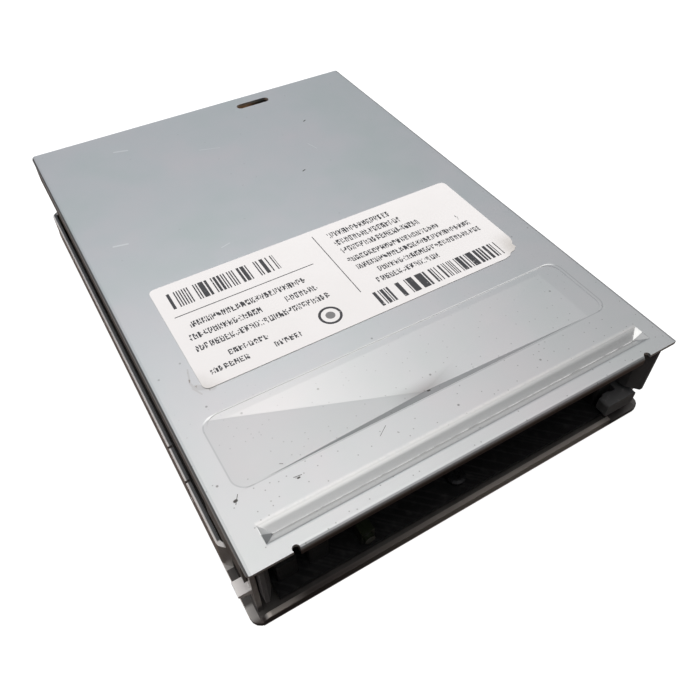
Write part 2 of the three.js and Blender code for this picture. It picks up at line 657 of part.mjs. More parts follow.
// Disk carrier: the sheet cage that takes the disk and drops with it onto the turntable
function diskCarrier() {
  const shelfWidth = 3;
  const mouth = { run: 3, rise: 1 };
  const light = { inset: 15.6, from: 20, beyondSpindle: 12, width: 12, radius: 3 };
  light.x = carrierInner - light.inset;
  const arc = { steps: 12, marginDegrees: 1.5 };
  const low = carrierRoofUnder - overrun;
  const high = carrierRoof + overrun;
  const roofFront = carrierFront + mouth.run;
  const sideBack = diskBack + fit;
  const parts = [
    raise(roundedRect(-carrierOuter, carrierOuter, roofFront - carrierSheet / 2, carrierBack, carrierSheet / 3),
      carrierRoofUnder, carrierRoof, 1),
    // The mouth turns up to lead the disk in
    runX(outline([
      [carrierFront, carrierRoof + mouth.rise], [carrierFront, carrierRoof + mouth.rise - carrierSheet],
      [roofFront, carrierRoofUnder], [roofFront, carrierRoof],
    ]), -carrierInner, carrierInner),
  ];
  const tools = [];
  for (const side of [-1, 1]) {
    const [x0, x1] = ordered(side * carrierInner, side * carrierOuter);
    parts.push(block(x0, x1, carrierFront, sideBack, carrierFloor, carrierRoof));
    const flank = side * (carrierInner + carrierSheet / 2);
    parts.push(block(side * (carrierInner - shelfWidth), flank, carrierFront, sideBack,
      carrierFloor, carrierFloorTop));
    for (const y of pin.y) {
      parts.push(rodX(y, pin.height, pin.radius, ...ordered(flank, side * pin.tip)));
    }
    const [l0, l1] = ordered(side * (light.x - light.width / 2), side * (light.x + light.width / 2));
    tools.push(raise(roundedRect(l0, l1, front + light.from, spindleY + light.beyondSpindle, light.radius),
      low, high));
  }
  tools.push(block(-headWindow.half, headWindow.half, headWindow.front, carrierBack + overrun, low, high));
  // The arc slot for the lever's pin, and the rivet's hole
  const start = THREE.MathUtils.degToRad(lever.startDegrees - arc.marginDegrees);
  const sweep = THREE.MathUtils.degToRad(lever.sweepDegrees + arc.marginDegrees * 2);
  const middle = [];
  for (let step = 0; step <= arc.steps; step += 1) {
    const angle = start + sweep * step / arc.steps;
    middle.push([lever.x + lever.reach * Math.cos(angle), lever.y + lever.reach * Math.sin(angle)]);
  }
  tools.push(raise(ribbon(middle, (lever.pin + fit) * 2), low, high));
  for (const [x, y] of [middle[0], middle[arc.steps]]) tools.push(rodZ(x, y, lever.pin + fit, low, high, 12));
  tools.push(rodZ(lever.x, lever.y, rivet.hole, low, high));
  return piece('disk_carrier', cut(join(...parts), ...tools), 'carrierSteel');
}

function shutterLever() {
  const boss = { radius: 3.2, tip: 2.2, clearance: 0.6 };
  const start = THREE.MathUtils.degToRad(lever.startDegrees);
  const tipX = lever.x + lever.reach * Math.cos(start);
  const tipY = lever.y + lever.reach * Math.sin(start);
  const top = lever.bottom + lever.sheet;
  const body = join(
    raise(slotOutline(lever.x, lever.y, tipX, tipY, boss.tip), lever.bottom, top, 4),
    rodZ(lever.x, lever.y, boss.radius, lever.bottom, top, 20),
    rodZ(tipX, tipY, lever.pin, carrierFloorTop + boss.clearance, lever.bottom + lever.sheet / 2),
  );
  return piece('shutter_lever', cut(body, rodZ(lever.x, lever.y, rivet.hole, lever.bottom - overrun, top + overrun)),
    'brightSteel');
}

function leverRivet() {
  const low = carrierRoofUnder - fit - rivet.headHeight;
  const high = lever.bottom + lever.sheet + fit;
  return piece('lever_rivet', join(
    rodZ(lever.x, lever.y, rivet.radius, low, high + rivet.headHeight / 2),
    rodZ(lever.x, lever.y, rivet.head, high, high + rivet.headHeight, 14),
    rodZ(lever.x, lever.y, rivet.head, low, low + rivet.headHeight, 14),
  ), 'brightSteel');
}

// Spindle motor: a flat outer rotor over a wound stator, with the turntable on top
const rotor = { radius: 18, lift: 0.8, top: 8, wall: 1, roof: 0.8 };
rotor.bottom = motorBoardTop + rotor.lift;
const magnet = { thickness: 1.6, outer: rotor.radius - rotor.wall - fit };
const shaft = { radius: 2, rise: 1.4, chamfer: 0.5 };
const turntable = { radius: 12.4, bottom: rotor.top + fit, boss: 0.5, dish: 0.6 };
turntable.top = disk.bottom + turntable.boss;
const drive = { orbit: 9.6, pin: 1.2, rise: 1 };
const bush = { outer: 4.2, flange: 5.6, flangeHeight: 0.8 };

// A closed profile of radius and height, revolved about an upright axis
function turned(profile, x, y, sides) {
  const points = [...profile, profile[0]].map(([r, z]) => new THREE.Vector2(r, z));
  const geometry = new THREE.LatheGeometry(points, sides).rotateX(Math.PI / 2).translate(x, y, 0);
  return solid(geometry);
}

function spindleRotor() {
  const inner = rotor.radius - rotor.wall;
  const bore = shaft.radius + fit;
  const under = rotor.top - rotor.roof;
  return piece('spindle_rotor', turned([
    [bore, under], [inner, under], [inner, rotor.bottom], [rotor.radius, rotor.bottom],
    [rotor.radius, rotor.top - fit], [rotor.radius - fit, rotor.top], [bore, rotor.top],
  ], 0, spindleY, 32), 'zincSteel');
}

function magnetRing() {
  const inner = magnet.outer - magnet.thickness;
  const top = rotor.top - rotor.roof - fit;
  const bottom = rotor.bottom + fit;
  return piece('rotor_magnet', turned([
    [inner, bottom], [magnet.outer, bottom], [magnet.outer, top], [inner, top],
  ], 0, spindleY, 32), 'magnet');
}

function turntableHub() {
  const bore = shaft.radius + fit;
  const { radius, bottom, top, dish } = turntable;
  const body = turned([
    [bore, bottom], [radius, bottom], [radius, top - fit], [radius - fit, top],
    [bore + dish * 2, top], [bore, top - dish],
  ], 0, spindleY, 28);
  return piece('turntable', cut(body, rodZ(drive.orbit, spindleY, drive.pin + fit, bottom - overrun, top + overrun)),
    'brass');
}

function drivePin() {
  return piece('drive_pin', rodZ(drive.orbit, spindleY, drive.pin, turntable.bottom, turntable.top + drive.rise, 14),
    'brightSteel');
}

function spindleShaft() {
  const top = turntable.top + shaft.rise;
  const bottom = motorBoardTop + fit;
  return piece('spindle_shaft', turned([
    [0, bottom], [shaft.radius, bottom], [shaft.radius, top - shaft.chamfer],
    [shaft.radius - shaft.chamfer, top], [0, top],
  ], 0, spindleY, 20), 'brightSteel');
}

function spindleBush() {
  const bore = shaft.radius + fit;
  const bottom = motorBoardTop + fit;
  const top = rotor.top - rotor.roof - fit;
  return piece('spindle_bush', turned([
    [bore, bottom], [bush.flange, bottom], [bush.flange, bottom + bush.flangeHeight],
    [bush.outer, bottom + bush.flangeHeight], [bush.outer, top], [bore, top],
  ], 0, spindleY, 16), 'brass');
}

// The stator: nine wound poles round a hub that seats on the bush's flange
function spindleStator() {
  const stator = { poles: 9, core: 7.4, neck: 2, shoe: 3, shoeDepth: 1, winding: 4 };
  const bottom = motorBoardTop + fit + bush.flangeHeight + fit;
  const top = rotor.top - rotor.roof - fit * 2;
  const middle = (bottom + top) / 2;
  const lamination = 0.9;
  const outer = magnet.outer - magnet.thickness - fit;
  let body = rodZ(0, spindleY, stator.core, bottom, top, 24);
  for (let pole = 0; pole < stator.poles; pole += 1) {
    const turn = pole / stator.poles * Math.PI * 2;
    body = join(body, ...[
      blockGeometry(stator.core - overrun, outer - stator.shoeDepth / 2, -stator.neck / 2, stator.neck / 2,
        middle - lamination / 2, middle + lamination / 2),
      blockGeometry(outer - stator.shoeDepth, outer - fit, -stator.shoe / 2, stator.shoe / 2, bottom, top),
      blockGeometry(stator.core - overrun, stator.core + stator.winding, -stator.neck, stator.neck, bottom, top),
    ].map((limb) => solid(limb.rotateZ(turn).translate(0, spindleY, 0))));
  }
  return piece('spindle_stator', cut(body, rodZ(0, spindleY, bush.outer + fit, bottom - overrun, top + overrun, 24)),
    'brass');
}

// Motor board: the steel-backed board under the spindle, run forward to the disk sensors
const motorBoard = { beyondSpindle: 27, half: 30, sideGap: 3.5, frontGap: 2.1, strip: 9.2 };
motorBoard.frontHalf = wallInner - motorBoard.sideGap;
motorBoard.back = spindleY + motorBoard.beyondSpindle;
motorBoard.front = chassisFront + motorBoard.frontGap;
const screw = { shank: 0.7, hole: 1.3, tap: 1, head: 2.2, headHeight: 1, slot: 0.5, slotDepth: 0.4 };
const motorScrewAt = { inset: 4, beyondSpindle: 22, fromFront: 7 };
motorScrewAt.x = motorBoard.half - motorScrewAt.inset;
const motorScrews = [
  [-motorScrewAt.x, spindleY + motorScrewAt.beyondSpindle],
  [motorScrewAt.x, spindleY + motorScrewAt.beyondSpindle],
  [0, front + motorScrewAt.fromFront],
];
const mainBoardHalf = wallInner - powerPlug.sideGap;
const boardScrewAt = { rearInset: 7, beforeRear: 11.4, armInset: 3, beforeDisk: 4.5 };
const boardScrews = [
  [boardScrewAt.rearInset - mainBoardHalf, rear - boardScrewAt.beforeRear],
  [boardScrewAt.armInset - mainBoardHalf, diskBack - boardScrewAt.beforeDisk],
  [mainBoardHalf - boardScrewAt.armInset, diskBack - boardScrewAt.beforeDisk],
];

function spindleMotorBoard() {
  const { back, half, frontHalf, front: edge, strip } = motorBoard;
  const corner = 3;
  const shape = outline([
    [-frontHalf, edge], [frontHalf, edge], [frontHalf, edge + strip - corner], [frontHalf - corner, edge + strip],
    [half, edge + strip], [half, back - corner], [half - corner, back], [corner - half, back],
    [-half, back - corner], [-half, edge + strip], [corner - frontHalf, edge + strip],
    [-frontHalf, edge + strip - corner],
  ]);
  const holes = motorScrews.map(
    ([x, y]) => rodZ(x, y, screw.hole, boardBottom - overrun, motorBoardTop + overrun, 12));
  return piece('spindle_motor_board', cut(raise(shape, boardBottom, motorBoardTop), ...holes), 'blackBoard');
}

// A pan-head screw with a crossed recess, its head seated on a board or strap
function panScrew(name, x, y, seat, tip) {
  const top = seat + fit + screw.headHeight;
  const head = turned([
    [0, seat + fit], [screw.head, seat + fit], [screw.head, top - fit], [screw.head - fit * 2, top], [0, top],
  ], x, y, 12);
  const cross = [
    block(x - screw.head / 2, x + screw.head / 2, y - screw.slot / 2, y + screw.slot / 2,
      top - screw.slotDepth, top + overrun),
    block(x - screw.slot / 2, x + screw.slot / 2, y - screw.head / 2, y + screw.head / 2,
      top - screw.slotDepth, top + overrun),
  ];
  const shank = rodZ(x, y, screw.shank, tip, seat + fit + screw.headHeight / 2, 8);
  return piece(name, cut(join(head, shank), ...cross), 'screwSteel');
}

// Disk sensors: a switch body on the motor board and the sprung plunger that stands out of it
const sensor = {
  from: 8.3, size: 4.6, top: 9.2, plunger: 0.9, travel: 1.1, plungerRoot: 6.5, boreFloor: 5,
  inset: 4.6, diskInInset: 11.6,
};
sensor.x = carrierInner - sensor.inset;
sensor.diskInX = carrierInner - sensor.diskInInset;
sensor.y = front + sensor.from;
sensor.plungerTop = disk.bottom + sensor.travel;

function sensorBody(name, x) {
  const { y, size, top, plunger, boreFloor } = sensor;
  const corner = 0.6;
  const plan = roundedRect(x - size / 2, x + size / 2, y - size / 2, y + size / 2, corner);
  const body = raise(plan, motorBoardTop + fit, top, 1);
  return piece(name, cut(body, rodZ(x, y, plunger + fit, boreFloor, top + overrun)), 'blackPlastic');
}

function sensorPlunger(name, x) {
  const { y, plunger, plungerTop, plungerRoot } = sensor;
  return piece(name, turned([
    [0, plungerRoot], [plunger, plungerRoot], [plunger, plungerTop - plunger / 2],
    [plunger / 2, plungerTop], [0, plungerTop],
  ], x, y, 14), 'ivoryPlastic');
}

// Activity light at the left front, on the motor board
function activityLight() {
  const led = { inboard: 10, width: 3, depth: 2.6, height: 4, lens: 1.2, reach: 0.9 };
  led.x = led.inboard - sensor.diskInX;
  const y0 = motorBoard.front + led.reach;
  const z0 = motorBoardTop + fit;
  return piece('activity_led', join(
    block(led.x - led.width / 2, led.x + led.width / 2, y0, y0 + led.depth, z0, z0 + led.height),
    rodY(led.x, z0 + led.height / 2, led.lens, y0 - led.reach, y0 + led.depth / 2, 16),
  ), 'smokyLens');
}

// Index sensor: the small chip that reads the rotor once a turn
function indexSensor() {
  const chip = { besideRotor: 1.8, y: spindleY, width: 3.2, depth: 4, height: 1.4 };
  chip.x = rotor.radius + chip.besideRotor + chip.width / 2;
  return piece('index_sensor', block(chip.x - chip.width / 2, chip.x + chip.width / 2, chip.y - chip.depth / 2,
    chip.y + chip.depth / 2, motorBoardTop + fit, motorBoardTop + fit + chip.height), 'blackPlastic');
}

// Head drive: stepper motor, bracket, lead screw and its front bearing
const stepperBefore = 15.9;
const stepperY = rear - stepperBefore;
const leadScrew = { x: -12, z: 12.2, root: 1.3, crest: 2.1, journal: 0.9, shank: 1.2 };
const bracket = { sheet: 1, beyond: 3.2, hole: 1.9, rearHole: 2.4, plate: 10.5, base: 5, screws: 8.8 };
bracket.front = diskBack + bracket.beyond;
const bearing = { outer: 1.6, flange: 2.6, flangeLength: 0.5 };
const thread = { start: bracket.front + bracket.sheet + bearing.flangeLength + fit, short: 1.6 };
thread.end = stepperY - thread.short;

function stepperBracket() {
  const { sheet, front: y0, plate, base } = bracket;
  const bottom = floorTop + fit;
  const upright = { width: 4, rise: 3.2, radius: 1.5 };
  const uprightTop = leadScrew.z + upright.rise;
  const plateRise = 6.4;
  const plateTop = leadScrew.z + plateRise;
  const { x } = leadScrew;
  const frontPlate = new THREE.Shape();
  frontPlate.moveTo(x - upright.width, bottom);
  frontPlate.lineTo(x + upright.width, bottom);
  frontPlate.lineTo(x + upright.width, uprightTop - upright.radius);
  frontPlate.absarc(x + upright.width - upright.radius, uprightTop - upright.radius, upright.radius, 0, Math.PI / 2);
  frontPlate.absarc(x - upright.width + upright.radius, uprightTop - upright.radius, upright.radius,
    Math.PI / 2, Math.PI);
  frontPlate.closePath();
  const rearPlate = roundedRect(x - plate, x + plate, bottom, plateTop, upright.radius);
  const body = join(
    block(x - base, x + base, y0, stepperY, bottom, bottom + sheet),
    runY(frontPlate, y0, y0 + sheet),
    runY(rearPlate, stepperY - sheet, stepperY),
  );
  const tools = [
    rodY(x, leadScrew.z, bracket.hole, y0 - overrun, y0 + sheet + overrun, 20),
    rodY(x, leadScrew.z, bracket.rearHole, stepperY - sheet - overrun, stepperY + overrun, 20),
  ];
  for (const side of [-1, 1]) {
    tools.push(rodY(x + side * bracket.screws, leadScrew.z, screw.hole, stepperY - sheet - overrun,
      stepperY + overrun, 12));
  }
  return piece('stepper_bracket', cut(body, ...tools), 'zincSteel');
}

function stepperMotor() {
  const motor = { radius: 7.5, length: 13, flange: 0.8, height: 6, cap: 1.2, waist: 0.5, seam: 0.4, bore: 4 };
  const { x, z } = leadScrew;
  const y0 = stepperY + fit;
  const flangeShape = roundedRect(x - bracket.plate, x + bracket.plate, z - motor.height / 2, z + motor.height / 2,
    motor.height / 2 - fit);
  const half = y0 + motor.flange + (motor.length - motor.flange) / 2;
  const body = join(
    runY(flangeShape, y0, y0 + motor.flange, 3),
    rodY(x, z, motor.radius, y0, half - motor.seam / 2, 24),
    rodY(x, z, motor.radius - motor.waist, half - motor.seam, half + motor.seam, 24),
    rodY(x, z, motor.radius, half + motor.seam / 2, y0 + motor.length - motor.cap, 24),
    rodY(x, z, motor.radius / 2, y0 + motor.length - motor.cap * 2, y0 + motor.length, 16),
  );
  const tools = [rodY(x, z, leadScrew.shank + fit, y0 - overrun, y0 + motor.bore, 14)];
  for (const side of [-1, 1]) {
    tools.push(rodY(x + side * bracket.screws, z, screw.tap, y0 - overrun, y0 + motor.flange + overrun, 12));
  }
  return piece('stepper_motor', cut(body, ...tools), 'zincSteel');
}

// A screw that holds the stepper's flange, its head on the bracket's front face
function stepperScrew(name, side) {
  const x = leadScrew.x + side * bracket.screws;
  const seat = stepperY - bracket.sheet - fit;
  const length = 0.9;
  return piece(name, join(
    rodY(x, leadScrew.z, screw.head * 0.8, seat - screw.headHeight * 0.7, seat, 14),
    rodY(x, leadScrew.z, screw.shank, seat - screw.headHeight / 2, stepperY + length, 10),
  ), 'screwSteel');
}

function screwBearing() {
  const y0 = bracket.front;
  const y1 = bracket.front + bracket.sheet;
  const ring = join(
    rodY(leadScrew.x, leadScrew.z, bearing.outer, y0, y1 + fit + bearing.flangeLength / 2, 16),
    rodY(leadScrew.x, leadScrew.z, bearing.flange, y1 + fit, y1 + fit + bearing.flangeLength, 20),
  );
  return piece('lead_screw_bearing', cut(ring, rodY(leadScrew.x, leadScrew.z, leadScrew.journal + fit,
    y0 - overrun, y1 + bearing.flangeLength + overrun, 16)), 'ivoryPlastic');
}

// The lead screw: one long groove winds round the shaft, and a tooth on the carriage runs in it
const screwAngle = (y) => 2 * Math.PI * (y - toothY) / screwLead;
const follower = { ahead: 11.4, length: 5, height: 4, gap: 0.4, tooth: 0.35, clearance: 0.35 };
follower.y0 = stepperY - follower.ahead;
const toothY = follower.y0 + follower.length / 2;

function leadScrewShaft() {
  const rings = { perLead: 8, sides: 10 };
  const { x, z, root, crest, journal, shank } = leadScrew;
  const count = Math.round((thread.end - thread.start) / screwLead * rings.perLead);
  const positions = [];
  const index = [];
  // The groove faces the tooth at rest: a quarter turn from straight up, towards the carriage
  for (let ring = 0; ring <= count; ring += 1) {
    const y = thread.start + (thread.end - thread.start) * ring / count;
    for (let side = 0; side < rings.sides; side += 1) {
      const angle = side / rings.sides * Math.PI * 2;
      const phase = angle - Math.PI / 2 - screwAngle(y);
      const radius = (root + crest) / 2 - (crest - root) / 2 * Math.cos(phase);
      positions.push(x + radius * Math.sin(angle), y, z + radius * Math.cos(angle));
    }
  }
  for (let ring = 0; ring < count; ring += 1) {
    for (let side = 0; side < rings.sides; side += 1) {
      const a = ring * rings.sides + side;
      const b = ring * rings.sides + (side + 1) % rings.sides;
      index.push(a, b, a + rings.sides, b, b + rings.sides, a + rings.sides);
    }
  }
  const first = positions.length / 3;
  positions.push(x, thread.start, z, x, thread.end, z);
  for (let side = 0; side < rings.sides; side += 1) {
    const next = (side + 1) % rings.sides;
    index.push(first, next, side);
    index.push(first + 1, count * rings.sides + side, count * rings.sides + next);
  }
  const geometry = new THREE.BufferGeometry();
  geometry.setAttribute('position', new THREE.Float32BufferAttribute(positions, 3));
  geometry.setIndex(index);
  const body = join(
    solid(geometry),
    rodY(x, z, journal, bracket.front, thread.start + overrun, 12),
    rodY(x, z, shank, thread.end - overrun, stepperY + fit + overrun * 3, 14),
  );
  return piece('lead_screw', body, 'brightSteel');
}

// Head carriage: slides on the guide rod, carries the lower head and the arm's pivot
const rod = { x: 13, z: 7, radius: 1.5, behindBoard: 1, rearGap: 4 };
rod.front = motorBoard.back + rod.behindBoard;
rod.back = stepperY - rod.rearGap;
const carriage = {
  nose: 5, rearGap: 3, half: 8, bottom: 6.5, top: 9.5,
  boss: { length: 5, beyond: 3.5, rearGap: 7, width: 3.5, wall: 1.9 },
};
carriage.front = headY - carriage.nose;
carriage.back = stepperY - carriage.rearGap;
carriage.boss.ys = [
  diskBack + carriage.boss.beyond, rod.back - carriage.boss.rearGap - carriage.boss.length,
];
const flag = { reach: 9.6, sheet: 0.6, rise: 0.3, length: 3 };
const pivot = { fromBack: 2, z: 14.5, radius: 1, boss: 2.2, ear: 2, half: 5.6 };
pivot.y = carriage.back - pivot.fromBack;
const shelf = { bottom: 11.2, sheet: 1, length: 5, right: 18.4 };

function headCarriage() {
  const { front: y0, back: y1, half, bottom, top, boss } = carriage;
  const noseShare = 0.7;
  const taper = 4;
  const window = { x: 3.2, ahead: 14, behind: 10, radius: 1.5 };
  const plan = outline([
    [-half * noseShare, y0], [half * noseShare, y0], [half, y0 + taper], [half, y1], [-half, y1],
    [-half, y0 + taper],
  ]);
  const parts = [raise(plan, bottom, top)];
  const tools = [raise(roundedRect(-window.x, window.x, y0 + window.ahead, y1 - window.behind, window.radius),
    bottom - overrun, top + overrun)];
  for (const y of boss.ys) {
    parts.push(block(half - overrun, rod.x + boss.width, y, y + boss.length,
      rod.z - rod.radius - boss.wall / 2, rod.z + rod.radius + boss.wall));
    tools.push(rodY(rod.x, rod.z, rod.radius + fit, y - overrun, y + boss.length + overrun, 16));
  }
  // The flag that tells the sensor that the head is at the outermost track
  const flagY = boss.ys[1];
  parts.push(block(rod.x + boss.width - overrun, rod.x + boss.width + flag.reach, flagY, flagY + flag.length,
    rod.z + flag.rise, rod.z + flag.rise + flag.sheet));
  // The two ears of the arm's pivot, the left one run forward to carry the follower
  const earTop = pivot.z + pivot.boss;
  for (const hand of [-1, 1]) {
    const earFront = hand < 0 ? follower.y0 : pivot.y - pivot.boss - overrun;
    parts.push(block(hand * (half - pivot.ear), hand * half, earFront, y1, top - overrun, earTop));
  }
  tools.push(rodX(pivot.y, pivot.z, pivot.radius + fit, -half - overrun, half + overrun, 16));
  // The shelf that the head's flexible cable leaves from
  parts.push(block(half - overrun, shelf.right, y1 - shelf.length, y1, shelf.bottom, shelf.bottom + shelf.sheet));
  return piece('head_carriage', cut(join(...parts), ...tools), 'aluminium');
}

function screwFollower() {
  const base = -carriage.half - fit;
  const face = leadScrew.x + leadScrew.crest + follower.gap;
  const tip = leadScrew.x + leadScrew.root + follower.clearance;
  const body = join(
    block(face, base, follower.y0, follower.y0 + follower.length, leadScrew.z - follower.height / 2,
      leadScrew.z + follower.height / 2),
    rodX(toothY, leadScrew.z, follower.tooth, tip, face + fit, 10),
  );
  return piece('screw_follower', body, 'ivoryPlastic');
}

const headBlock = { half: 4, length: 8, relief: 0.35, gap: 0.05, railShare: 0.45 };
headBlock.top = disk.bottom + disk.thickness / 2 - headBlock.gap;

// One read and write head: a ceramic slider with its raised rails
function headSlider(name, low, high, half, faceUp) {
  const rail = half * headBlock.railShare;
  const y0 = headY - headBlock.length / 2;
  const y1 = headY + headBlock.length / 2;
  const relief = faceUp ? [high - headBlock.relief, high + overrun] : [low - overrun, low + headBlock.relief];
  const body = block(-half, half, y0, y1, low, high);
  const groove = block(-half + rail, half - rail, y0 - overrun, y1 + overrun, ...relief);
  return piece(name, cut(body, groove), 'ceramic');
}

// Upper head arm, drawn lowered and then lifted about its pivot
const arm = { bottom: 14, sheet: 1.6, tip: 3.4, root: 4.5, ahead: 4.5 };
arm.front = headY - arm.ahead;
const lift = { arm: 17.2, length: 1.8, clear: 0.6, sheet: 0.8, right: 15 };
lift.bottom = carrierRoof - carrierDrop + lift.clear;

function headArm() {
  const top = arm.bottom + arm.sheet;
  const plan = outline([
    [-arm.tip, arm.front], [arm.tip, arm.front], [arm.root, headY + headBlock.length], [arm.root, pivot.y],
    [-arm.root, pivot.y], [-arm.root, headY + headBlock.length],
  ]);
  const liftY = pivot.y - lift.arm;
  const rib = { half: 0.6, height: 1, from: headY + headBlock.length };
  return piece('head_arm', join(
    raise(plan, arm.bottom, top),
    rodX(pivot.y, pivot.z, pivot.boss, -pivot.half, pivot.half, 24),
    rodX(pivot.y, pivot.z, pivot.radius, fit - carriage.half, carriage.half - fit, 16),
    block(-rib.half, rib.half, rib.from, pivot.y, top - fit, top + rib.height),
    block(arm.root - overrun, arm.root, liftY - lift.length / 2, liftY + lift.length / 2,
      top - fit, lift.bottom + lift.sheet),
    block(arm.root - overrun, lift.right, liftY - lift.length / 2, liftY + lift.length / 2,
      lift.bottom, lift.bottom + lift.sheet),
  ), 'zincSteel');
}

// Guide rod, its two seats on the floor, and the straps and screws that hold it down
const seat = { length: 4, left: 9.5, screwInset: 2, width: 11.5, strap: 0.6, inset: 0.5 };
seat.right = seat.left + seat.width;
seat.screwX = seat.right - seat.screwInset;

function guideRod() {
  const chamfer = 0.4;
  const body = join(
    rodY(rod.x, rod.z, rod.radius, rod.front + chamfer, rod.back - chamfer, 16),
    rodY(rod.x, rod.z, rod.radius - chamfer, rod.front, rod.back, 16),
  );
  return piece('guide_rod', body, 'brightSteel');
}

function rodSeat(name, y0) {
  const bottom = floorTop + fit;
  const land = rod.z + rod.radius;
  const step = rod.x + rod.radius + fit * 2;
  const body = join(
    block(seat.left, seat.right, y0, y0 + seat.length, bottom, rod.z),
    block(step, seat.right, y0, y0 + seat.length, rod.z - overrun, land),
  );
  return piece(name, cut(body, rodY(rod.x, rod.z, rod.radius + fit, y0 - overrun, y0 + seat.length + overrun, 20),
    rodZ(seat.screwX, y0 + seat.length / 2, screw.tap, bottom + overrun, land + overrun, 10)), 'aluminium');
}

function rodClamp(name, y0) {
  const bottom = rod.z + rod.radius + fit;
  const plan = roundedRect(seat.left, seat.right, y0 + seat.inset, y0 + seat.length - seat.inset, seat.inset);
  return piece(name, cut(raise(plan, bottom, bottom + seat.strap, 1), rodZ(seat.screwX, y0 + seat.length / 2,
    screw.hole, bottom - overrun, bottom + seat.strap + overrun, 12)), 'brightSteel');
}

// Main board: a U round the head drive, with the two rear connectors
const mainBoard = { ahead: 8.5, armInner: 23.5, stepperLap: 0.4 };
mainBoard.armFront = diskBack - mainBoard.ahead;
mainBoard.rearFront = stepperY + mainBoard.stepperLap;

function mainCircuitBoard() {
  const back = chassisBack - wallSheet - fit;
  const { armFront, armInner, rearFront } = mainBoard;
  const shape = outline([
    [-mainBoardHalf, armFront], [-armInner, armFront], [-armInner, rearFront], [armInner, rearFront],
    [armInner, armFront], [mainBoardHalf, armFront], [mainBoardHalf, back], [-mainBoardHalf, back],
  ]);
  const holes = boardScrews.map(
    ([x, y]) => rodZ(x, y, screw.hole, boardBottom - overrun, mainBoardTop + overrun, 12));
  return piece('main_board', cut(raise(shape, boardBottom, mainBoardTop), ...holes), 'greenBoard');
}

// A moulded chip with leads along its front and back, and along its sides where it has any there
const controller = { inset: 11.5, beyond: 8, width: 10, depth: 10 };
const driver = { inset: 8, beyond: 9, width: 10, depth: 5.4 };

function chip(name, side, { inset, beyond, width: across, depth }, perWidth, perDepth) {
  const lead = { width: 0.4, reach: 1.3, sheet: 0.25, lift: 0.6 };
  const bodyHeight = 1.7;
  const x = side * (mainBoardHalf - inset);
  const y = diskBack + beyond;
  const bottom = partBottom;
  const top = bottom + bodyHeight;
  const parts = [block(x - across / 2, x + across / 2, y - depth / 2, y + depth / 2, bottom + lead.sheet, top)];
  const spread = (count, length) => Array.from(
    { length: count }, (_, index) => (index + 0.5) / count * length - length / 2);
  for (const hand of [-1, 1]) {
    const [u0, u1] = ordered(hand * (across / 2 - lead.reach), hand * (across / 2 + lead.reach));
    const [v0, v1] = ordered(hand * (depth / 2 - lead.reach), hand * (depth / 2 + lead.reach));
    for (const offset of spread(perWidth, across)) {
      parts.push(block(x + offset - lead.width / 2, x + offset + lead.width / 2, y + v0, y + v1,
        bottom, bottom + lead.lift));
    }
    for (const offset of spread(perDepth, depth)) {
      parts.push(block(x + u0, x + u1, y + offset - lead.width / 2, y + offset + lead.width / 2,
        bottom, bottom + lead.lift));
    }
  }
  return piece(name, join(...parts), 'blackPlastic');
}

// The 34-way data connector: a moulded bar with two rows of square pins out of the back
function dataConnector() {
  const columns = 17;
  const header = { depth: 6, margin: 0.62, pin: 0.64, root: 2 };
  const { left: x0, right: x1, bottom, top } = dataPlug;
  const pitch = (x1 - x0 - header.margin) / columns;
  const y1 = chassisBack - wallSheet - overrun / 2;
  const tip = rear + connectorReach;
  const middleX = (x0 + x1) / 2;
  const middleZ = (bottom + top) / 2;
  const parts = [block(x0, x1, y1 - header.depth, y1, bottom, top)];
  for (const row of [-0.5, 0.5]) {
    for (let column = 0; column < columns; column += 1) {
      const isKey = row > 0 && column === 2;
      if (isKey) continue;
      const x = middleX + (column - (columns - 1) / 2) * pitch;
      const z = middleZ + row * pitch;
      parts.push(block(x - header.pin / 2, x + header.pin / 2, y1 - header.root, tip, z - header.pin / 2,
        z + header.pin / 2));
    }
  }
  return piece('data_connector', join(...parts), 'blackPlastic');
}

// The 4-way power connector: a shell open to the back and above its four pins
function powerConnector() {
  const ways = 4;
  const shell = { wall: 0.9, depth: 11, pitch: 2.5, pin: 0.7, cavity: 7, keyWidth: 4, keyDepth: 2.4 };
  const { left: x0, right: x1, bottom, top } = powerPlug;
  const tip = rear + connectorReach;
  const middleX = (x0 + x1) / 2;
  const middleZ = (bottom + top) / 2 - shell.wall / 2;
  let body = cut(
    block(x0, x1, tip - shell.depth, tip, bottom, top),
    block(x0 + shell.wall, x1 - shell.wall, tip - shell.cavity, tip + overrun, bottom + shell.wall,
      top - shell.wall),
    block(middleX - shell.keyWidth / 2, middleX + shell.keyWidth / 2, tip - shell.keyDepth, tip + overrun,
      top - shell.wall - overrun, top + overrun),
  );
  for (let way = 0; way < ways; way += 1) {
    const x = middleX + (way - (ways - 1) / 2) * shell.pitch;
    body = body.add(block(x - shell.pin / 2, x + shell.pin / 2, tip - shell.cavity - overrun, tip - overrun,
      middleZ - shell.pin / 2, middleZ + shell.pin / 2));
  }
  return piece('power_connector', body, 'ivoryPlastic');
}

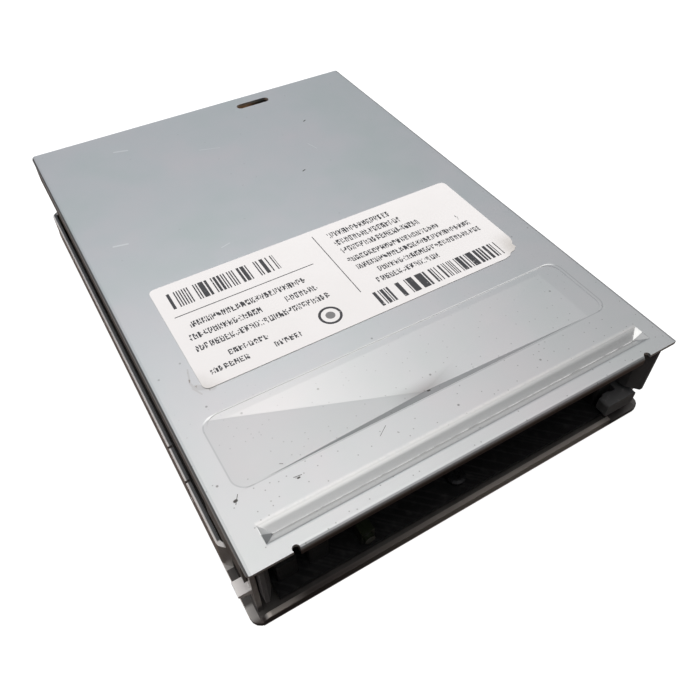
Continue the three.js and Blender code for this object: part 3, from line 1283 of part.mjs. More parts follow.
// The outermost-track sensor: a forked light gate that the carriage's flag runs through
function trackSensor() {
  const gate = { length: 4, throat: 2.4, top: 2.2, depth: 5, wall: 1.6, gap: 0.5 };
  const x0 = mainBoard.armInner + gate.gap;
  const y0 = carriage.boss.ys[1] - gate.gap;
  const low = partBottom;
  const flagMiddle = rod.z + flag.rise + flag.sheet / 2;
  const throat0 = flagMiddle - gate.throat / 2;
  const throat1 = flagMiddle + gate.throat / 2;
  const shape = outline([
    [x0, low], [x0 + gate.depth + gate.wall, low], [x0 + gate.depth + gate.wall, throat1 + gate.top],
    [x0, throat1 + gate.top], [x0, throat1], [x0 + gate.depth, throat1], [x0 + gate.depth, throat0], [x0, throat0],
  ]);
  return piece('track_zero_sensor', runY(shape, y0, y0 + gate.length), 'blackPlastic');
}

// Flexible cables: thin film strips, the head's looped to follow the carriage
const flexSheet = 0.3;
const socket = { left: 9.8, width: 9.6, beyond: 5.5, depth: 3.4, height: 4.1 };
socket.right = socket.left + socket.width;
socket.y = carriage.back + socket.beyond;

function headFlex() {
  const stripInset = 1;
  const pointCount = 44;
  const loop = { run: 16.2, low: 8.3, high: 21.7 };
  const loopShares = [
    [0.13, 0.35], [0.25, 0.57], [0.43, 0.84], [0.68, 1], [0.9, 0.94], [1, 0.71], [0.91, 0.5],
    [0.72, 0.43], [0.51, 0.38], [0.37, 0.22],
  ];
  const line = loopShares.map(([share, rise]) => [carriage.back + share * loop.run,
    loop.low + rise * (loop.high - loop.low)]);
  // It leaves the carriage's shelf square to it, and drops into the socket
  line.unshift([carriage.back + fit, shelf.bottom + shelf.sheet / 2]);
  line.push([socket.y, partBottom + socket.height + fit]);
  const path = new THREE.CatmullRomCurve3(line.map(([y, z]) => new THREE.Vector3(0, y, z)));
  const points = path.getSpacedPoints(pointCount).map((point) => [point.y, point.z]);
  return piece('head_flex', runX(ribbon(points, flexSheet), socket.left + stripInset, socket.right - stripInset),
    'amberFilm');
}

function flexConnector() {
  const front0 = socket.y - socket.depth / 2;
  return piece('flex_connector', block(socket.left, socket.right, front0, front0 + socket.depth,
    partBottom, partBottom + socket.height), 'blackPlastic');
}

function motorFlex() {
  const strip = { besideRotor: 6.5, width: 4.5, rise: 1.2, lap: 2.4 };
  strip.left = rotor.radius + strip.besideRotor;
  const pointCount = 14;
  const low = motorBoardTop + fit + flexSheet / 2;
  const high = partBottom + flexSheet / 2;
  const from = motorBoard.back - strip.lap;
  const to = mainBoard.armFront + strip.lap;
  const middle = (motorBoard.back + mainBoard.armFront) / 2;
  const path = new THREE.CatmullRomCurve3([
    new THREE.Vector3(0, from, low), new THREE.Vector3(0, motorBoard.back, low),
    new THREE.Vector3(0, middle, high + strip.rise), new THREE.Vector3(0, mainBoard.armFront, high),
    new THREE.Vector3(0, to, high),
  ]);
  const points = path.getSpacedPoints(pointCount).map((point) => [point.y, Math.max(point.z, low)]);
  return piece('motor_flex', runX(ribbon(points, flexSheet), strip.left, strip.left + strip.width), 'amberFilm');
}

// The assembly, grouped as it moves

function group(...pieces) {
  const made = new THREE.Group();
  made.add(...pieces);
  return made;
}

const screwTop = floorTop / 2;
const frame = group(
  topCover(), chassis(), entryGuide('left_entry_guide', -1), entryGuide('right_entry_guide', 1),
  spindleMotorBoard(), spindleStator(), spindleBush(), indexSensor(), activityLight(),
  sensorBody('write_protect_switch', -sensor.x), sensorBody('density_switch', sensor.x),
  sensorBody('disk_in_switch', -sensor.diskInX),
  ...motorScrews.map(([x, y], i) => panScrew(`motor_board_screw_${i + 1}`, x, y, motorBoardTop, screwTop)),
  stepperBracket(), stepperMotor(), screwBearing(), stepperScrew('stepper_screw_left', -1),
  stepperScrew('stepper_screw_right', 1),
  guideRod(), rodSeat('rod_seat_front', rod.front), rodSeat('rod_seat_rear', rod.back - seat.length),
  rodClamp('rod_clamp_front', rod.front), rodClamp('rod_clamp_rear', rod.back - seat.length),
  panScrew('rod_clamp_screw_front', seat.screwX, rod.front + seat.length / 2,
    rod.z + rod.radius + fit + seat.strap, rod.z - rod.radius),
  panScrew('rod_clamp_screw_rear', seat.screwX, rod.back - seat.length / 2,
    rod.z + rod.radius + fit + seat.strap, rod.z - rod.radius),
  mainCircuitBoard(), chip('controller_chip', -1, controller, 6, 6), chip('driver_chip', 1, driver, 6, 0),
  dataConnector(), powerConnector(), trackSensor(),
  flexConnector(), headFlex(), motorFlex(),
  ...boardScrews.map(([x, y], i) => panScrew(`main_board_screw_${i + 1}`, x, y, mainBoardTop, screwTop)),
);
const slideGroup = group(
  ejectSlide(), ejectButton(), extensionSpring('slide_spring_left', -post.x),
  extensionSpring('slide_spring_right', post.x),
);
const carrierGroup = group(diskCarrier(), leverRivet(), shutterLever());
const spindleGroup = group(spindleRotor(), magnetRing(), turntableHub(), drivePin(), spindleShaft());
const armGroup = group(headArm(), headSlider('upper_head', headBlock.top + disk.media,
  arm.bottom - fit, arm.tip - fit / 2, false));

// The arm is lifted about its pivot while the carrier is up
const armPivot = new THREE.Group();
armPivot.position.set(0, pivot.y, pivot.z);
armPivot.rotation.x = -THREE.MathUtils.degToRad(armLiftDegrees);
armGroup.position.set(0, -pivot.y, -pivot.z);
armPivot.add(armGroup);

const carriageGroup = group(
  headCarriage(), screwFollower(),
  headSlider('lower_head', carriage.top + fit, headBlock.top, headBlock.half, true),
);
const plungers = group(
  sensorPlunger('write_protect_plunger', -sensor.x), sensorPlunger('density_plunger', sensor.x),
  sensorPlunger('disk_in_plunger', -sensor.diskInX),
);

export default group(
  frame, slideGroup, carrierGroup, spindleGroup, leadScrewShaft(), carriageGroup, armPivot, plungers,
);
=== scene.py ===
import math

import bmesh
import bpy
from mathutils import Matrix, Vector


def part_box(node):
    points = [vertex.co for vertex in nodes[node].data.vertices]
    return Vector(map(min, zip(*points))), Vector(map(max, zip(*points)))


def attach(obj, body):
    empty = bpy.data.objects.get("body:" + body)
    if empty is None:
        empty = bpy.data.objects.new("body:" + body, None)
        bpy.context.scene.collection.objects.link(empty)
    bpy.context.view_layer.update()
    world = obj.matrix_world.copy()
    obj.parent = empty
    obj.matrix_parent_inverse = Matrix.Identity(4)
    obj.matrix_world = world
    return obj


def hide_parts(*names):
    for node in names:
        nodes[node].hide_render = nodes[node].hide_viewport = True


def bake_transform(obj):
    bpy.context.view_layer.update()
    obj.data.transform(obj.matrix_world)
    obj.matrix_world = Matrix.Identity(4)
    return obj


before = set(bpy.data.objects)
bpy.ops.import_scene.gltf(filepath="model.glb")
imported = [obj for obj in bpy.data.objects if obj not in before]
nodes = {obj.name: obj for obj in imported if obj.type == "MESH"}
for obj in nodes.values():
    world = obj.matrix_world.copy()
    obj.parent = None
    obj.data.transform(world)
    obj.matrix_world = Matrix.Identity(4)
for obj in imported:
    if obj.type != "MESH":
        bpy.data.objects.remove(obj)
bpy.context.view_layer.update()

scene = bpy.context.scene
scene.view_settings.view_transform = "Standard"
MM = 0.001

# The camera stands above the front left corner, about 180 mm from the drive's middle, and looks
# down over it to the rear right, so that the far corner runs out of sight behind the cover.
camera = bpy.data.objects.new("camera", bpy.data.cameras.new("camera"))
scene.collection.objects.link(camera)
camera.data.sensor_width = 36
camera.data.lens = 34.62
camera.data.clip_start = 0.01
camera.data.clip_end = 20
right = Vector((0.85767834, -0.51414639, -0.00643133))
down = Vector((-0.38734692, -0.63782969, -0.66568435))
forward = Vector((0.33815711, 0.5734342, -0.74620573))
turn = Matrix((right, -down, -forward)).transposed()
camera_at = Vector((-57.991, -119.547, 130.136)) * MM
camera.matrix_world = Matrix.Translation(camera_at) @ turn.to_4x4()
scene.camera = camera


class Value:
    """A number, colour or vector that varies over a surface: one output in a finish's nodes."""

    def __init__(self, finish, socket):
        self.finish = finish
        self.socket = socket

    def math(self, operation, *terms):
        return self.finish.node("ShaderNodeMath", {"operation": operation}, dict(enumerate(terms)))

    def __add__(self, other):
        return self.math("ADD", self, other)

    def __radd__(self, other):
        return self.math("ADD", other, self)

    def __sub__(self, other):
        return self.math("SUBTRACT", self, other)

    def __rsub__(self, other):
        return self.math("SUBTRACT", other, self)

    def __mul__(self, other):
        return self.math("MULTIPLY", self, other)

    def __rmul__(self, other):
        return self.math("MULTIPLY", other, self)

    def __truediv__(self, other):
        return self.math("DIVIDE", self, other)

    def __gt__(self, other):
        return self.math("GREATER_THAN", self, other)

    def __lt__(self, other):
        return self.math("LESS_THAN", self, other)

    def __abs__(self):
        return self.math("ABSOLUTE", self)

    def floor(self):
        return self.math("FLOOR", self)

    def fraction(self):
        return self.math("FRACT", self)

    def root(self):
        return self.math("SQRT", self)

    def least(self, other):
        return self.math("MINIMUM", self, other)

    def most(self, other):
        return self.math("MAXIMUM", self, other)

    def ease(self, start, end, low=0, high=1):
        """Runs smoothly from low to high while this number goes from start to end."""
        return self.finish.node("ShaderNodeMapRange", {"interpolation_type": "SMOOTHSTEP"},
                                {0: self, 1: start, 2: end, 3: low, 4: high})

    def inside(self, low, high):
        return (self > low) * (self < high)

    def blend(self, low, high):
        """Mixes two colours, the first where this number is 0 and the second where it is 1."""
        return self.finish.node("ShaderNodeMix", {"data_type": "RGBA"},
                                {0: self, 6: colour(low), 7: colour(high)}, output=2)

    def axis(self, index):
        return self.finish.node("ShaderNodeSeparateXYZ", {}, {0: self}, output=index)


def colour(value):
    return value if isinstance(value, Value) else (*value, 1)


class Finish:
    """A surface finish as shader nodes, or the light of the surroundings."""

    def __init__(self, owner, shader="ShaderNodeBsdfPrincipled", output="ShaderNodeOutputMaterial",
                 **constants):
        self.owner = owner
        owner.use_nodes = True
        self.tree = owner.node_tree
        self.tree.nodes.clear()
        self.out = self.tree.nodes.new(output)
        self.shader = self.tree.nodes.new(shader)
        self.tree.links.new(self.shader.outputs[0], self.out.inputs["Surface"])
        self.set(**constants)

    def set(self, **values):
        for name, value in values.items():
            self.feed(self.shader.inputs[name.replace("_", " ")], value)

    def feed(self, socket, value):
        if isinstance(value, Value):
            self.tree.links.new(value.socket, socket)
        else:
            socket.default_value = value

    def node(self, kind, settings=None, inputs=None, output=0):
        made = self.tree.nodes.new(kind)
        for name, value in (settings or {}).items():
            if name == "stops":
                ramp = made.color_ramp
                while len(ramp.elements) < len(value):
                    ramp.elements.new(0.5)
                for element, (position, tone) in zip(ramp.elements, value):
                    element.position = position
                    element.color = (*tone, 1)
            else:
                setattr(made, name, value)
        for name, value in (inputs or {}).items():
            self.feed(made.inputs[name], value)
        return Value(self, made.outputs[output])

    def place(self, stretch=(1, 1, 1)):
        """The point on the object in millimetres, stretched along an axis where a grain runs one way."""
        point = self.node("ShaderNodeTexCoord", output="Object")
        return self.node("ShaderNodeVectorMath", {"operation": "MULTIPLY"},
                         {0: point, 1: [1000 * share for share in stretch]})

    def noise(self, size, detail=2, stretch=(1, 1, 1)):
        """Cloudy noise from 0 to 1, with features of the given size in millimetres."""
        return self.node("ShaderNodeTexNoise", {},
                         {"Vector": self.place(stretch), "Scale": 1 / size, "Detail": detail})

    def dice(self, number, seed=0.5):
        """A random number from 0 to 1 for each whole step of a number."""
        return self.node("ShaderNodeTexWhiteNoise", {"noise_dimensions": "1D"}, {"W": number + seed})

    def spots(self, size, radius, chance, across="3D"):
        """Round spots: one cell to each size, spots of the radius in some of the cells."""
        cells = {"Vector": self.place(), "Scale": 1 / size}
        apart = self.node("ShaderNodeTexVoronoi", {"voronoi_dimensions": across}, cells)
        lot = self.node("ShaderNodeTexVoronoi", {"voronoi_dimensions": across}, cells, output=1).axis(0)
        return (apart * size).ease(radius, 0.6 * radius) * (lot < chance)

    def stroke(self, start, end, radius):
        """A scratch from one point of the plan to another, in millimetres."""
        run = Vector(end) - Vector(start)
        here = self.place()
        across, along = here.axis(0) - start[0], here.axis(1) - start[1]
        share = ((across * run.x + along * run.y) / run.length_squared).most(0).least(1)
        across, along = across - share * run.x, along - share * run.y
        return (across * across + along * along).root().ease(radius, 0.5 * radius)

    def bump(self, height, depth):
        """Raises the surface by a depth in millimetres where the height is 1."""
        inputs = {"Height": height, "Strength": 1.0, "Distance": depth * MM}
        self.set(Normal=self.node("ShaderNodeBump", {}, inputs))

    def cover(self, *names):
        for name in names:
            nodes[name].material_slots[0].material = self.owner


def material(name, **constants):
    return Finish(bpy.data.materials.new(name), **constants)


# The floor is a plain white sheet, which keeps the drive's soft shadow, while most of what the camera
# sees of it is its own even white. To all other rays it is the dark table that a drive lies on. It
# is clear from below, and where the tray touches it, so that the underside shows as well.
floor_half = 3000
floor_drop = 0.05
touching_distance = 0.3
bm = bmesh.new()
bmesh.ops.create_grid(bm, x_segments=1, y_segments=1, size=floor_half * MM)
bmesh.ops.translate(bm, verts=bm.verts, vec=(0, 0, -floor_drop * MM))
floor = bpy.data.objects.new("floor", bpy.data.meshes.new("floor"))
bm.to_mesh(floor.data)
bm.free()
scene.collection.objects.link(floor)
white_top = material("white_top", Roughness=0.9)
white_top.shader.inputs["Specular IOR Level"].default_value = 0
glow = white_top.node("ShaderNodeEmission", {}, {"Color": (1, 1, 1, 1), "Strength": 1.36})
seen = white_top.node("ShaderNodeLightPath", output="Is Camera Ray")
white_top.set(Base_Color=seen.blend((0.085, 0.066, 0.056), (0.5, 0.5, 0.5)))
own_white = 0.72
both = white_top.node("ShaderNodeMixShader", {}, {
    0: seen * own_white, 1: Value(white_top, white_top.shader.outputs[0]), 2: glow,
})
from_below = white_top.node("ShaderNodeNewGeometry", output="Backfacing")
touching = white_top.node("ShaderNodeLightPath", output="Ray Length") < touching_distance * MM
glass = white_top.node("ShaderNodeBsdfTransparent")
sheet = white_top.node("ShaderNodeMixShader", {}, {0: from_below.most(touching), 1: both, 2: glass})
white_top.feed(white_top.out.inputs["Surface"], sheet)
floor.data.materials.append(white_top.owner)

# The surroundings are a studio tent: white overhead, falling to a dimmer, slightly blue band low
# down behind the drive and to its right, which is what the flat steel mirrors towards its far end.
# It is dim low down in front, and the soft lamp hangs above the rear, so the disk slot lies in shade.
world = bpy.data.worlds.new("tent")
scene.world = world
tent = Finish(world, "ShaderNodeBackground", "ShaderNodeOutputWorld")
direction = tent.node("ShaderNodeTexCoord", output="Generated")
aside, away, height = (direction.axis(index) for index in range(3))
walls = tent.node("ShaderNodeValToRGB", {"stops": [
    (0.0, (0.012, 0.009, 0.008)), (0.24, (0.085, 0.09, 0.095)), (0.42, (0.24, 0.275, 0.305)),
    (0.62, (0.405, 0.445, 0.48)), (0.74, (0.85, 0.85, 0.85)), (0.84, (1.0, 0.99, 0.975)),
    (0.97, (0.96, 0.95, 0.94)),
]}, {0: height})
overhead = height.ease(0.88, 0.99, 1, 1.4)
low_front = (1 - away.ease(-0.6, 0.15)) * height.ease(0.77, 0.63)
shade = aside.ease(0.3, 0.75, 1, 0.52) * (1 - 0.84 * low_front)
sky = tent.node("ShaderNodeVectorMath", {"operation": "SCALE"}, {0: walls, "Scale": shade * overhead})
sky = height.ease(-0.04, -0.1).blend(sky, (0.55, 0.55, 0.55))
plain = tent.node("ShaderNodeLightPath", output="Is Camera Ray")
tent.feed(tent.shader.inputs["Color"], plain.blend(sky, (1, 1, 1)))
tent.shader.inputs["Strength"].default_value = 1.08

lamp = bpy.data.objects.new("key", bpy.data.lights.new("key", "AREA"))
lamp.data.size = 0.3
lamp.data.energy = 2.9
lamp.visible_glossy = False
lamp_at = Vector((0.06, 0.25, 0.52))
lamp.matrix_world = Matrix.Translation(lamp_at) @ lamp_at.to_track_quat("Z", "Y").to_matrix().to_4x4()
scene.collection.objects.link(lamp)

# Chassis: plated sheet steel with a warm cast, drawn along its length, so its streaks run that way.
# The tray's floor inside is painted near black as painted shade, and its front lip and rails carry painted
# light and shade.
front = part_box("top_cover")[0].y / MM
wall_middle = 49.2
inside_walls = 47.9
rail_inner = 49.6
rail_height = 9.5
lip_right_end = 40.7
tray = material("tray_steel", Metallic=0.65)
streak = tray.noise(0.9, 3, (1, 0.06, 1))
cloud = tray.noise(6, 3)
here = tray.place()
tone = streak.blend((0.46, 0.44, 0.425), (0.60, 0.575, 0.555))
behind = here.axis(1) - front
outward = abs(here.axis(0))
height = here.axis(2)
above = height > 0.05
# Painted shade: the tray's floor behind the lip is painted near black, cloudy, where shade falls inside the
# slot.
painted_floor_shade = height.ease(4.2, 2.6) * (outward < wall_middle) * behind.ease(0.8, 3) * above
tone = (painted_floor_shade * (0.65 + 0.35 * cloud)).least(1).blend(tone, (0.035, 0.03, 0.028))
across = here.axis(0)
# Painted light and shade on the front lip: dark towards the left, lit across the middle, dimmer at the
# right end, with a painted highlight on its rounded left end.
painted_lip_light = behind.ease(3.2, 1.6) * height.ease(4.2, 3) * (across < lip_right_end) * above
lit = across.ease(-38, 12) * across.ease(41, 36, 0.3, 1)
lit = lit.most(across.ease(-38.5, -44.5) * height.ease(1.9, 2.4))
tone = painted_lip_light.blend(tone, lit.blend((0.12, 0.10, 0.094), (0.66, 0.60, 0.55)))
# Painted shade: near-black patches on the walls 11 to 14 mm behind the front, low on the walls 5 to 9 mm
# behind it, and at the right front end beside the eject button.
painted_shade = (outward > inside_walls) * (height < 9.2) * behind.inside(11.2, 14.3)
rail_end_shade = (outward > wall_middle) * (height < 3) * behind.ease(5.2, 6.2) * (behind < 9.5)
button_end_shade = (across > lip_right_end - 0.3) * (height < 4) * (behind < 12)
painted_shade = painted_shade + rail_end_shade + button_end_shade
tone = (painted_shade * above * 0.85).least(0.95).blend(tone, (0.035, 0.03, 0.028))
# Painted shade and highlight: the rail's top is painted dark, with a painted highlight along its outer edge
# and its front end.
rail_top = height.inside(rail_height - 0.2, rail_height + 0.2) * (outward > rail_inner)
rail_rim_highlight = rail_top * outward.ease(50.3, 50.5).most(behind.ease(16.9, 16.4))
tone = rail_top.blend(tone, (0.14, 0.14, 0.145))
tone = rail_rim_highlight.blend(tone, (0.95, 0.91, 0.89))
# Painted light: the rail's outer face is painted pale and warm, so it looks lit.
rail_face_light = outward > 50.75
tone = (rail_face_light * 0.8).blend(tone, (0.90, 0.76, 0.68))
# Painted highlight: the ear at the front of each wall is painted near white.
ear_highlight = (outward > inside_walls) * behind.inside(4.45, 7.75) * height.inside(8.2, 10.1)
tone = ear_highlight.blend(tone, (0.95, 0.91, 0.89))
spots = tray.spots(3.1, 0.22, 0.3)
tone = (spots * 0.6).blend(tone, (0.12, 0.09, 0.07))
tray.set(Base_Color=tone, Roughness=0.36 + 0.14 * cloud + 0.1 * spots)
tray.bump(streak * 0.6 + cloud * 0.4 - spots, 0.006)
tray.cover("chassis")

# Spindle motor board: a steel-backed board that closes the motor's magnetic circuit. It is lacquered
# black over its copper runs, which show only as low ridges, and three screws hold it to the tray.
run_pitch = 1.1
lacquer = material("black_lacquer", Metallic=0.2)
here = lacquer.place()
lane = (here.axis(0) + here.axis(1)) / run_pitch
run = (lane.fraction() < 0.5) * (lacquer.dice(lane.floor(), 4.5) < 0.55)
dust = lacquer.noise(1.4, 4).ease(0.5, 0.8)
tone = run.blend((0.010, 0.010, 0.011), (0.022, 0.022, 0.023))
lacquer.set(Base_Color=(dust * 0.25).blend(tone, (0.09, 0.085, 0.08)), Roughness=0.4 + 0.25 * dust)
lacquer.bump(run, 0.03)
lacquer.cover("spindle_motor_board")

# Motor board screws: blackened steel, with the oxide worn brown on the rims of their heads. They
# hold the spindle motor's board down on the tray.
oxide = material("black_oxide", Metallic=0.6)
cloud = oxide.noise(0.7, 3)
worn = oxide.noise(0.3, 2).ease(0.6, 0.75)
oxide.set(Base_Color=(worn * 0.6).blend((0.018, 0.018, 0.02), (0.11, 0.09, 0.075)),
          Roughness=0.36 + 0.2 * cloud)
oxide.bump(cloud * 0.7 + worn * 0.3, 0.006)
oxide.cover("motor_board_screw_1", "motor_board_screw_2", "motor_board_screw_3")

# Turntable and spindle bush: turned brass. The tool has left fine rings round the spindle, whose
# shaft runs in the bush and carries the turntable.
ring_width = 0.11
turned = material("turned_brass", Metallic=1.0)
low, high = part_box("spindle_shaft")
spindle = (low + high) / 2 / MM
here = turned.place()
from_x, from_y = here.axis(0) - spindle.x, here.axis(1) - spindle.y
rings = turned.dice(((from_x * from_x + from_y * from_y).root() / ring_width).floor())
cloud = turned.noise(4, 3)
turned.set(Base_Color=(rings * 0.4 + cloud * 0.6).blend((0.44, 0.32, 0.13), (0.64, 0.50, 0.24)),
           Roughness=0.22 + 0.14 * cloud)
turned.bump(rings, 0.004)
turned.cover("turntable", "spindle_bush")

# Stator: enamelled copper wire wound round the poles. The turns lie side by side round each pole,
# so the bands run across the pole's length, which points away from the spindle.
wire_pitch = 0.32
wound = material("wound_copper", Metallic=0.7)
here = wound.place()
from_x, from_y = here.axis(0) - spindle.x, here.axis(1) - spindle.y
away_from = (from_x * from_x + from_y * from_y).root()
band = (away_from / wire_pitch).fraction()
turn_height = 1 - abs(band * 2 - 1) * abs(band * 2 - 1)
wire = wound.dice((away_from / wire_pitch).floor(), 5.5)
wound.set(Base_Color=(turn_height * 0.7 + wire * 0.3).blend((0.20, 0.075, 0.03), (0.56, 0.25, 0.11)),
          Roughness=0.25 + 0.12 * wire, Coat_Weight=turn_height * 0.5)
wound.bump(turn_height, 0.08)
wound.cover("spindle_stator")

# Rotor magnet: a ring of bonded ferrite glued into the rotor, matt and dark, with pale grains and a
# faint grey bloom.
ferrite = material("bonded_ferrite", Metallic=0.1)
grit = ferrite.noise(0.2, 3)
bloom = ferrite.noise(2.5, 3)
ferrite.set(Base_Color=(grit * 0.6 + bloom * 0.4).blend((0.016, 0.016, 0.017), (0.05, 0.05, 0.052)),
            Roughness=0.55 + 0.15 * grit)
ferrite.bump(grit, 0.02)
ferrite.cover("rotor_magnet")

# Activity light: an unlit lamp in a smoky green lens that clouds towards its base. It stands on the
# front of the spindle motor's board.
lens = material("smoky_lens", Metallic=0)
cloud = lens.noise(1.2, 3)
depth = lens.place().axis(2).ease(3.5, 7.5)
lens.set(Base_Color=(depth * 0.6 + cloud * 0.4).blend((0.008, 0.009, 0.007), (0.018, 0.024, 0.012)),
         Roughness=0.3 + 0.1 * cloud, Coat_Weight=0.1 * depth)
lens.bump(cloud, 0.005)
lens.cover("activity_led")

# Switch bodies, sensors and the flexible cable's connector: black moulded plastic, with a matt
# grain and the pale bloom that old glass-filled mouldings have.
black = material("black_moulding", Metallic=0)
grain = black.noise(0.18, 2)
bloom = black.noise(4, 4).ease(0.45, 0.75)
black.set(Base_Color=(bloom * 0.5).blend((0.012, 0.012, 0.013), (0.035, 0.034, 0.033)),
          Roughness=0.42 + 0.2 * bloom)
black.bump(grain, 0.012)
black.cover("write_protect_switch", "density_switch", "disk_in_switch", "index_sensor",
            "track_zero_sensor", "flex_connector")

# Main board: glass-fibre sheet with green solder mask over its copper runs. The runs stand slightly
# proud, in parallel groups that turn from one block of the board to the next, with tinned dots
# where they change side.
block = 7.5
run_pitch = 0.9
masked = material("solder_mask", Metallic=0.1)
here = masked.place()
block_x, block_y = (here.axis(0) / block).floor(), (here.axis(1) / block).floor()
lot = masked.dice(block_x * 17.3 + block_y * 5.1)
along = here.axis(0) * (lot > 0.5) + here.axis(1) * (lot < 0.5)
lane = along / run_pitch
run = (lane.fraction() < 0.42) * (masked.dice(lane.floor() + block_x * 3.3 + block_y * 7.7, 1.5) < 0.7)
dots = masked.spots(3.4, 0.42, 0.55)
shade = masked.noise(8, 3)
tone = run.blend((0.010, 0.055, 0.028), (0.022, 0.115, 0.055))
tone = (shade * 0.3).blend(tone, (0.008, 0.03, 0.018))
tone = dots.blend(tone, (0.50, 0.48, 0.42))
masked.set(Base_Color=tone, Metallic=dots * 0.9, Roughness=0.28 + 0.15 * shade + 0.1 * dots)
masked.bump(run * 0.5 + dots * 0.8 + shade * 0.1, 0.035)
masked.cover("main_board")

# Chips: black epoxy bodies with tinned leads, which come out low down round the body and are
# soldered to the board. A row of dulled bars crosses the top of each.
lead_reach = 1.3
lead_drop = 0.9
bar_width = 0.5
for name, reach_x, reach_y in (("controller_chip", lead_reach, lead_reach), ("driver_chip", 0, lead_reach)):
    low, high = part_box(name)
    middle = (low + high) / 2 / MM
    half = (high - low) / 2 / MM
    upper_face = high.z / MM
    epoxy = material(name + "_epoxy")
    here = epoxy.place()
    from_x, from_y = abs(here.axis(0) - middle.x), abs(here.axis(1) - middle.y)
    leads = (from_x > half.x - reach_x + 0.01).most(from_y > half.y - reach_y + 0.01)
    leads = leads * (here.axis(2) < upper_face - lead_drop)
    grain = epoxy.noise(0.2, 2)
    bars = epoxy.dice((here.axis(0) / bar_width).floor()) < 0.6
    bars = bars * (here.axis(1) - middle.y).inside(-0.6, 0.4)
    bars = bars * (from_x < half.x - 2 * lead_reach) * (here.axis(2) > upper_face - 0.05)
    tone = grain.blend((0.012, 0.012, 0.013), (0.024, 0.024, 0.025))
    tone = (bars * 0.6).blend(tone, (0.09, 0.09, 0.09))
    tone = leads.blend(tone, (0.62, 0.61, 0.59))
    epoxy.set(Base_Color=tone, Metallic=leads * 0.95, Roughness=0.5 - 0.2 * leads + 0.1 * grain)
    epoxy.bump(grain * (1 - leads), 0.01)
    epoxy.cover(name)

# Data connector: a black glass-filled bar that holds two rows of square pins, tinned over nickel,
# with the tips of the pins rubbed duller by the plug.
low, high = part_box("data_connector")
pin_length = 5.08
pin_ends = high.y / MM
header = material("header_and_pins")
grain = header.noise(0.18, 2)
here = header.place()
pins = here.axis(1) > pin_ends - pin_length
tips = here.axis(1).ease(pin_ends - 1.6, pin_ends - 0.2) * header.noise(0.5, 2)
tone = grain.blend((0.012, 0.012, 0.013), (0.03, 0.03, 0.03))
tone = pins.blend(tone, tips.blend((0.66, 0.60, 0.46), (0.42, 0.40, 0.36)))
header.set(Base_Color=tone, Metallic=pins * 0.95, Roughness=0.48 - 0.2 * pins + 0.12 * tips)
header.bump(grain * (1 - pins), 0.012)
header.cover("data_connector")

# Plungers, bearing, follower and power connector: natural nylon, faintly yellowed and slightly
# see-through, so its tone swims a little below a satin skin.
nylon = material("natural_nylon", Metallic=0)
nylon.shader.inputs["Subsurface Weight"].default_value = 0.12
nylon.shader.inputs["Subsurface Scale"].default_value = 0.0008
cloud = nylon.noise(3, 3)
grain = nylon.noise(0.3, 2)
low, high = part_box("power_connector")
pin_pitch = 2.5
pin_bottom, pin_top = low.z / MM + 2.38, low.z / MM + 3.12
pin_root, pin_tip = high.y / MM - 6.98, high.y / MM - 0.5
here = nylon.place()
from_middle = here.axis(0) - (low.x + high.x) / 2 / MM
pin = (abs((from_middle / pin_pitch).fraction() - 0.5) < 0.15) * (abs(from_middle) < 4.4)
pin = pin * here.axis(2).inside(pin_bottom, pin_top) * here.axis(1).inside(pin_root, pin_tip)
tone = cloud.blend((0.56, 0.52, 0.42), (0.68, 0.64, 0.55))
nylon.set(Base_Color=pin.blend(tone, (0.66, 0.65, 0.62)), Metallic=pin * 0.95,
          Roughness=0.38 + 0.12 * grain - 0.1 * pin)
nylon.bump(grain, 0.01)
nylon.cover("write_protect_plunger", "density_plunger", "disk_in_plunger", "lead_screw_bearing",
            "screw_follower", "power_connector")

# Rotor, stepper can, stepper bracket and head arm: the same zinc plate as the cover, cleaner
# because the cover shuts them in, with a crystalline spangle.
spangle = 2.4
clean = material("inner_zinc", Metallic=0.7)
cells = clean.node("ShaderNodeTexVoronoi", {}, {"Vector": clean.place(), "Scale": 1 / spangle}, output=1)
cells = cells.axis(0)
cloud = clean.noise(5, 3)
clean.set(Base_Color=(cells * 0.4 + cloud * 0.6).blend((0.44, 0.46, 0.47), (0.60, 0.61, 0.63)),
          Roughness=0.3 + 0.1 * cells + 0.1 * cloud)
clean.bump(cloud * 0.6 + cells * 0.4, 0.005)
clean.cover("spindle_rotor", "stepper_motor", "stepper_bracket", "head_arm")

# Springs, lever, rivet, drive pin, shafts, rod and rod straps: drawn or ground steel, bright, with
# hairlines across the ground rods and a thin film of oil that pools in patches.
bright_steel = material("bright_steel", Metallic=1.0)
hair = bright_steel.noise(0.12, 2, (1, 0.3, 0.3))
oil = bright_steel.noise(2.6, 3)
bright_steel.set(Base_Color=hair.blend((0.52, 0.525, 0.53), (0.70, 0.705, 0.71)),
                 Roughness=0.16 + 0.16 * oil, Coat_Weight=oil.ease(0.5, 0.7, 0, 0.4))
bright_steel.bump(hair * 0.6 + oil * 0.4, 0.002)
bright_steel.cover("slide_spring_left", "slide_spring_right", "shutter_lever", "lever_rivet",
                   "drive_pin", "spindle_shaft", "lead_screw", "guide_rod", "rod_clamp_front",
                   "rod_clamp_rear")

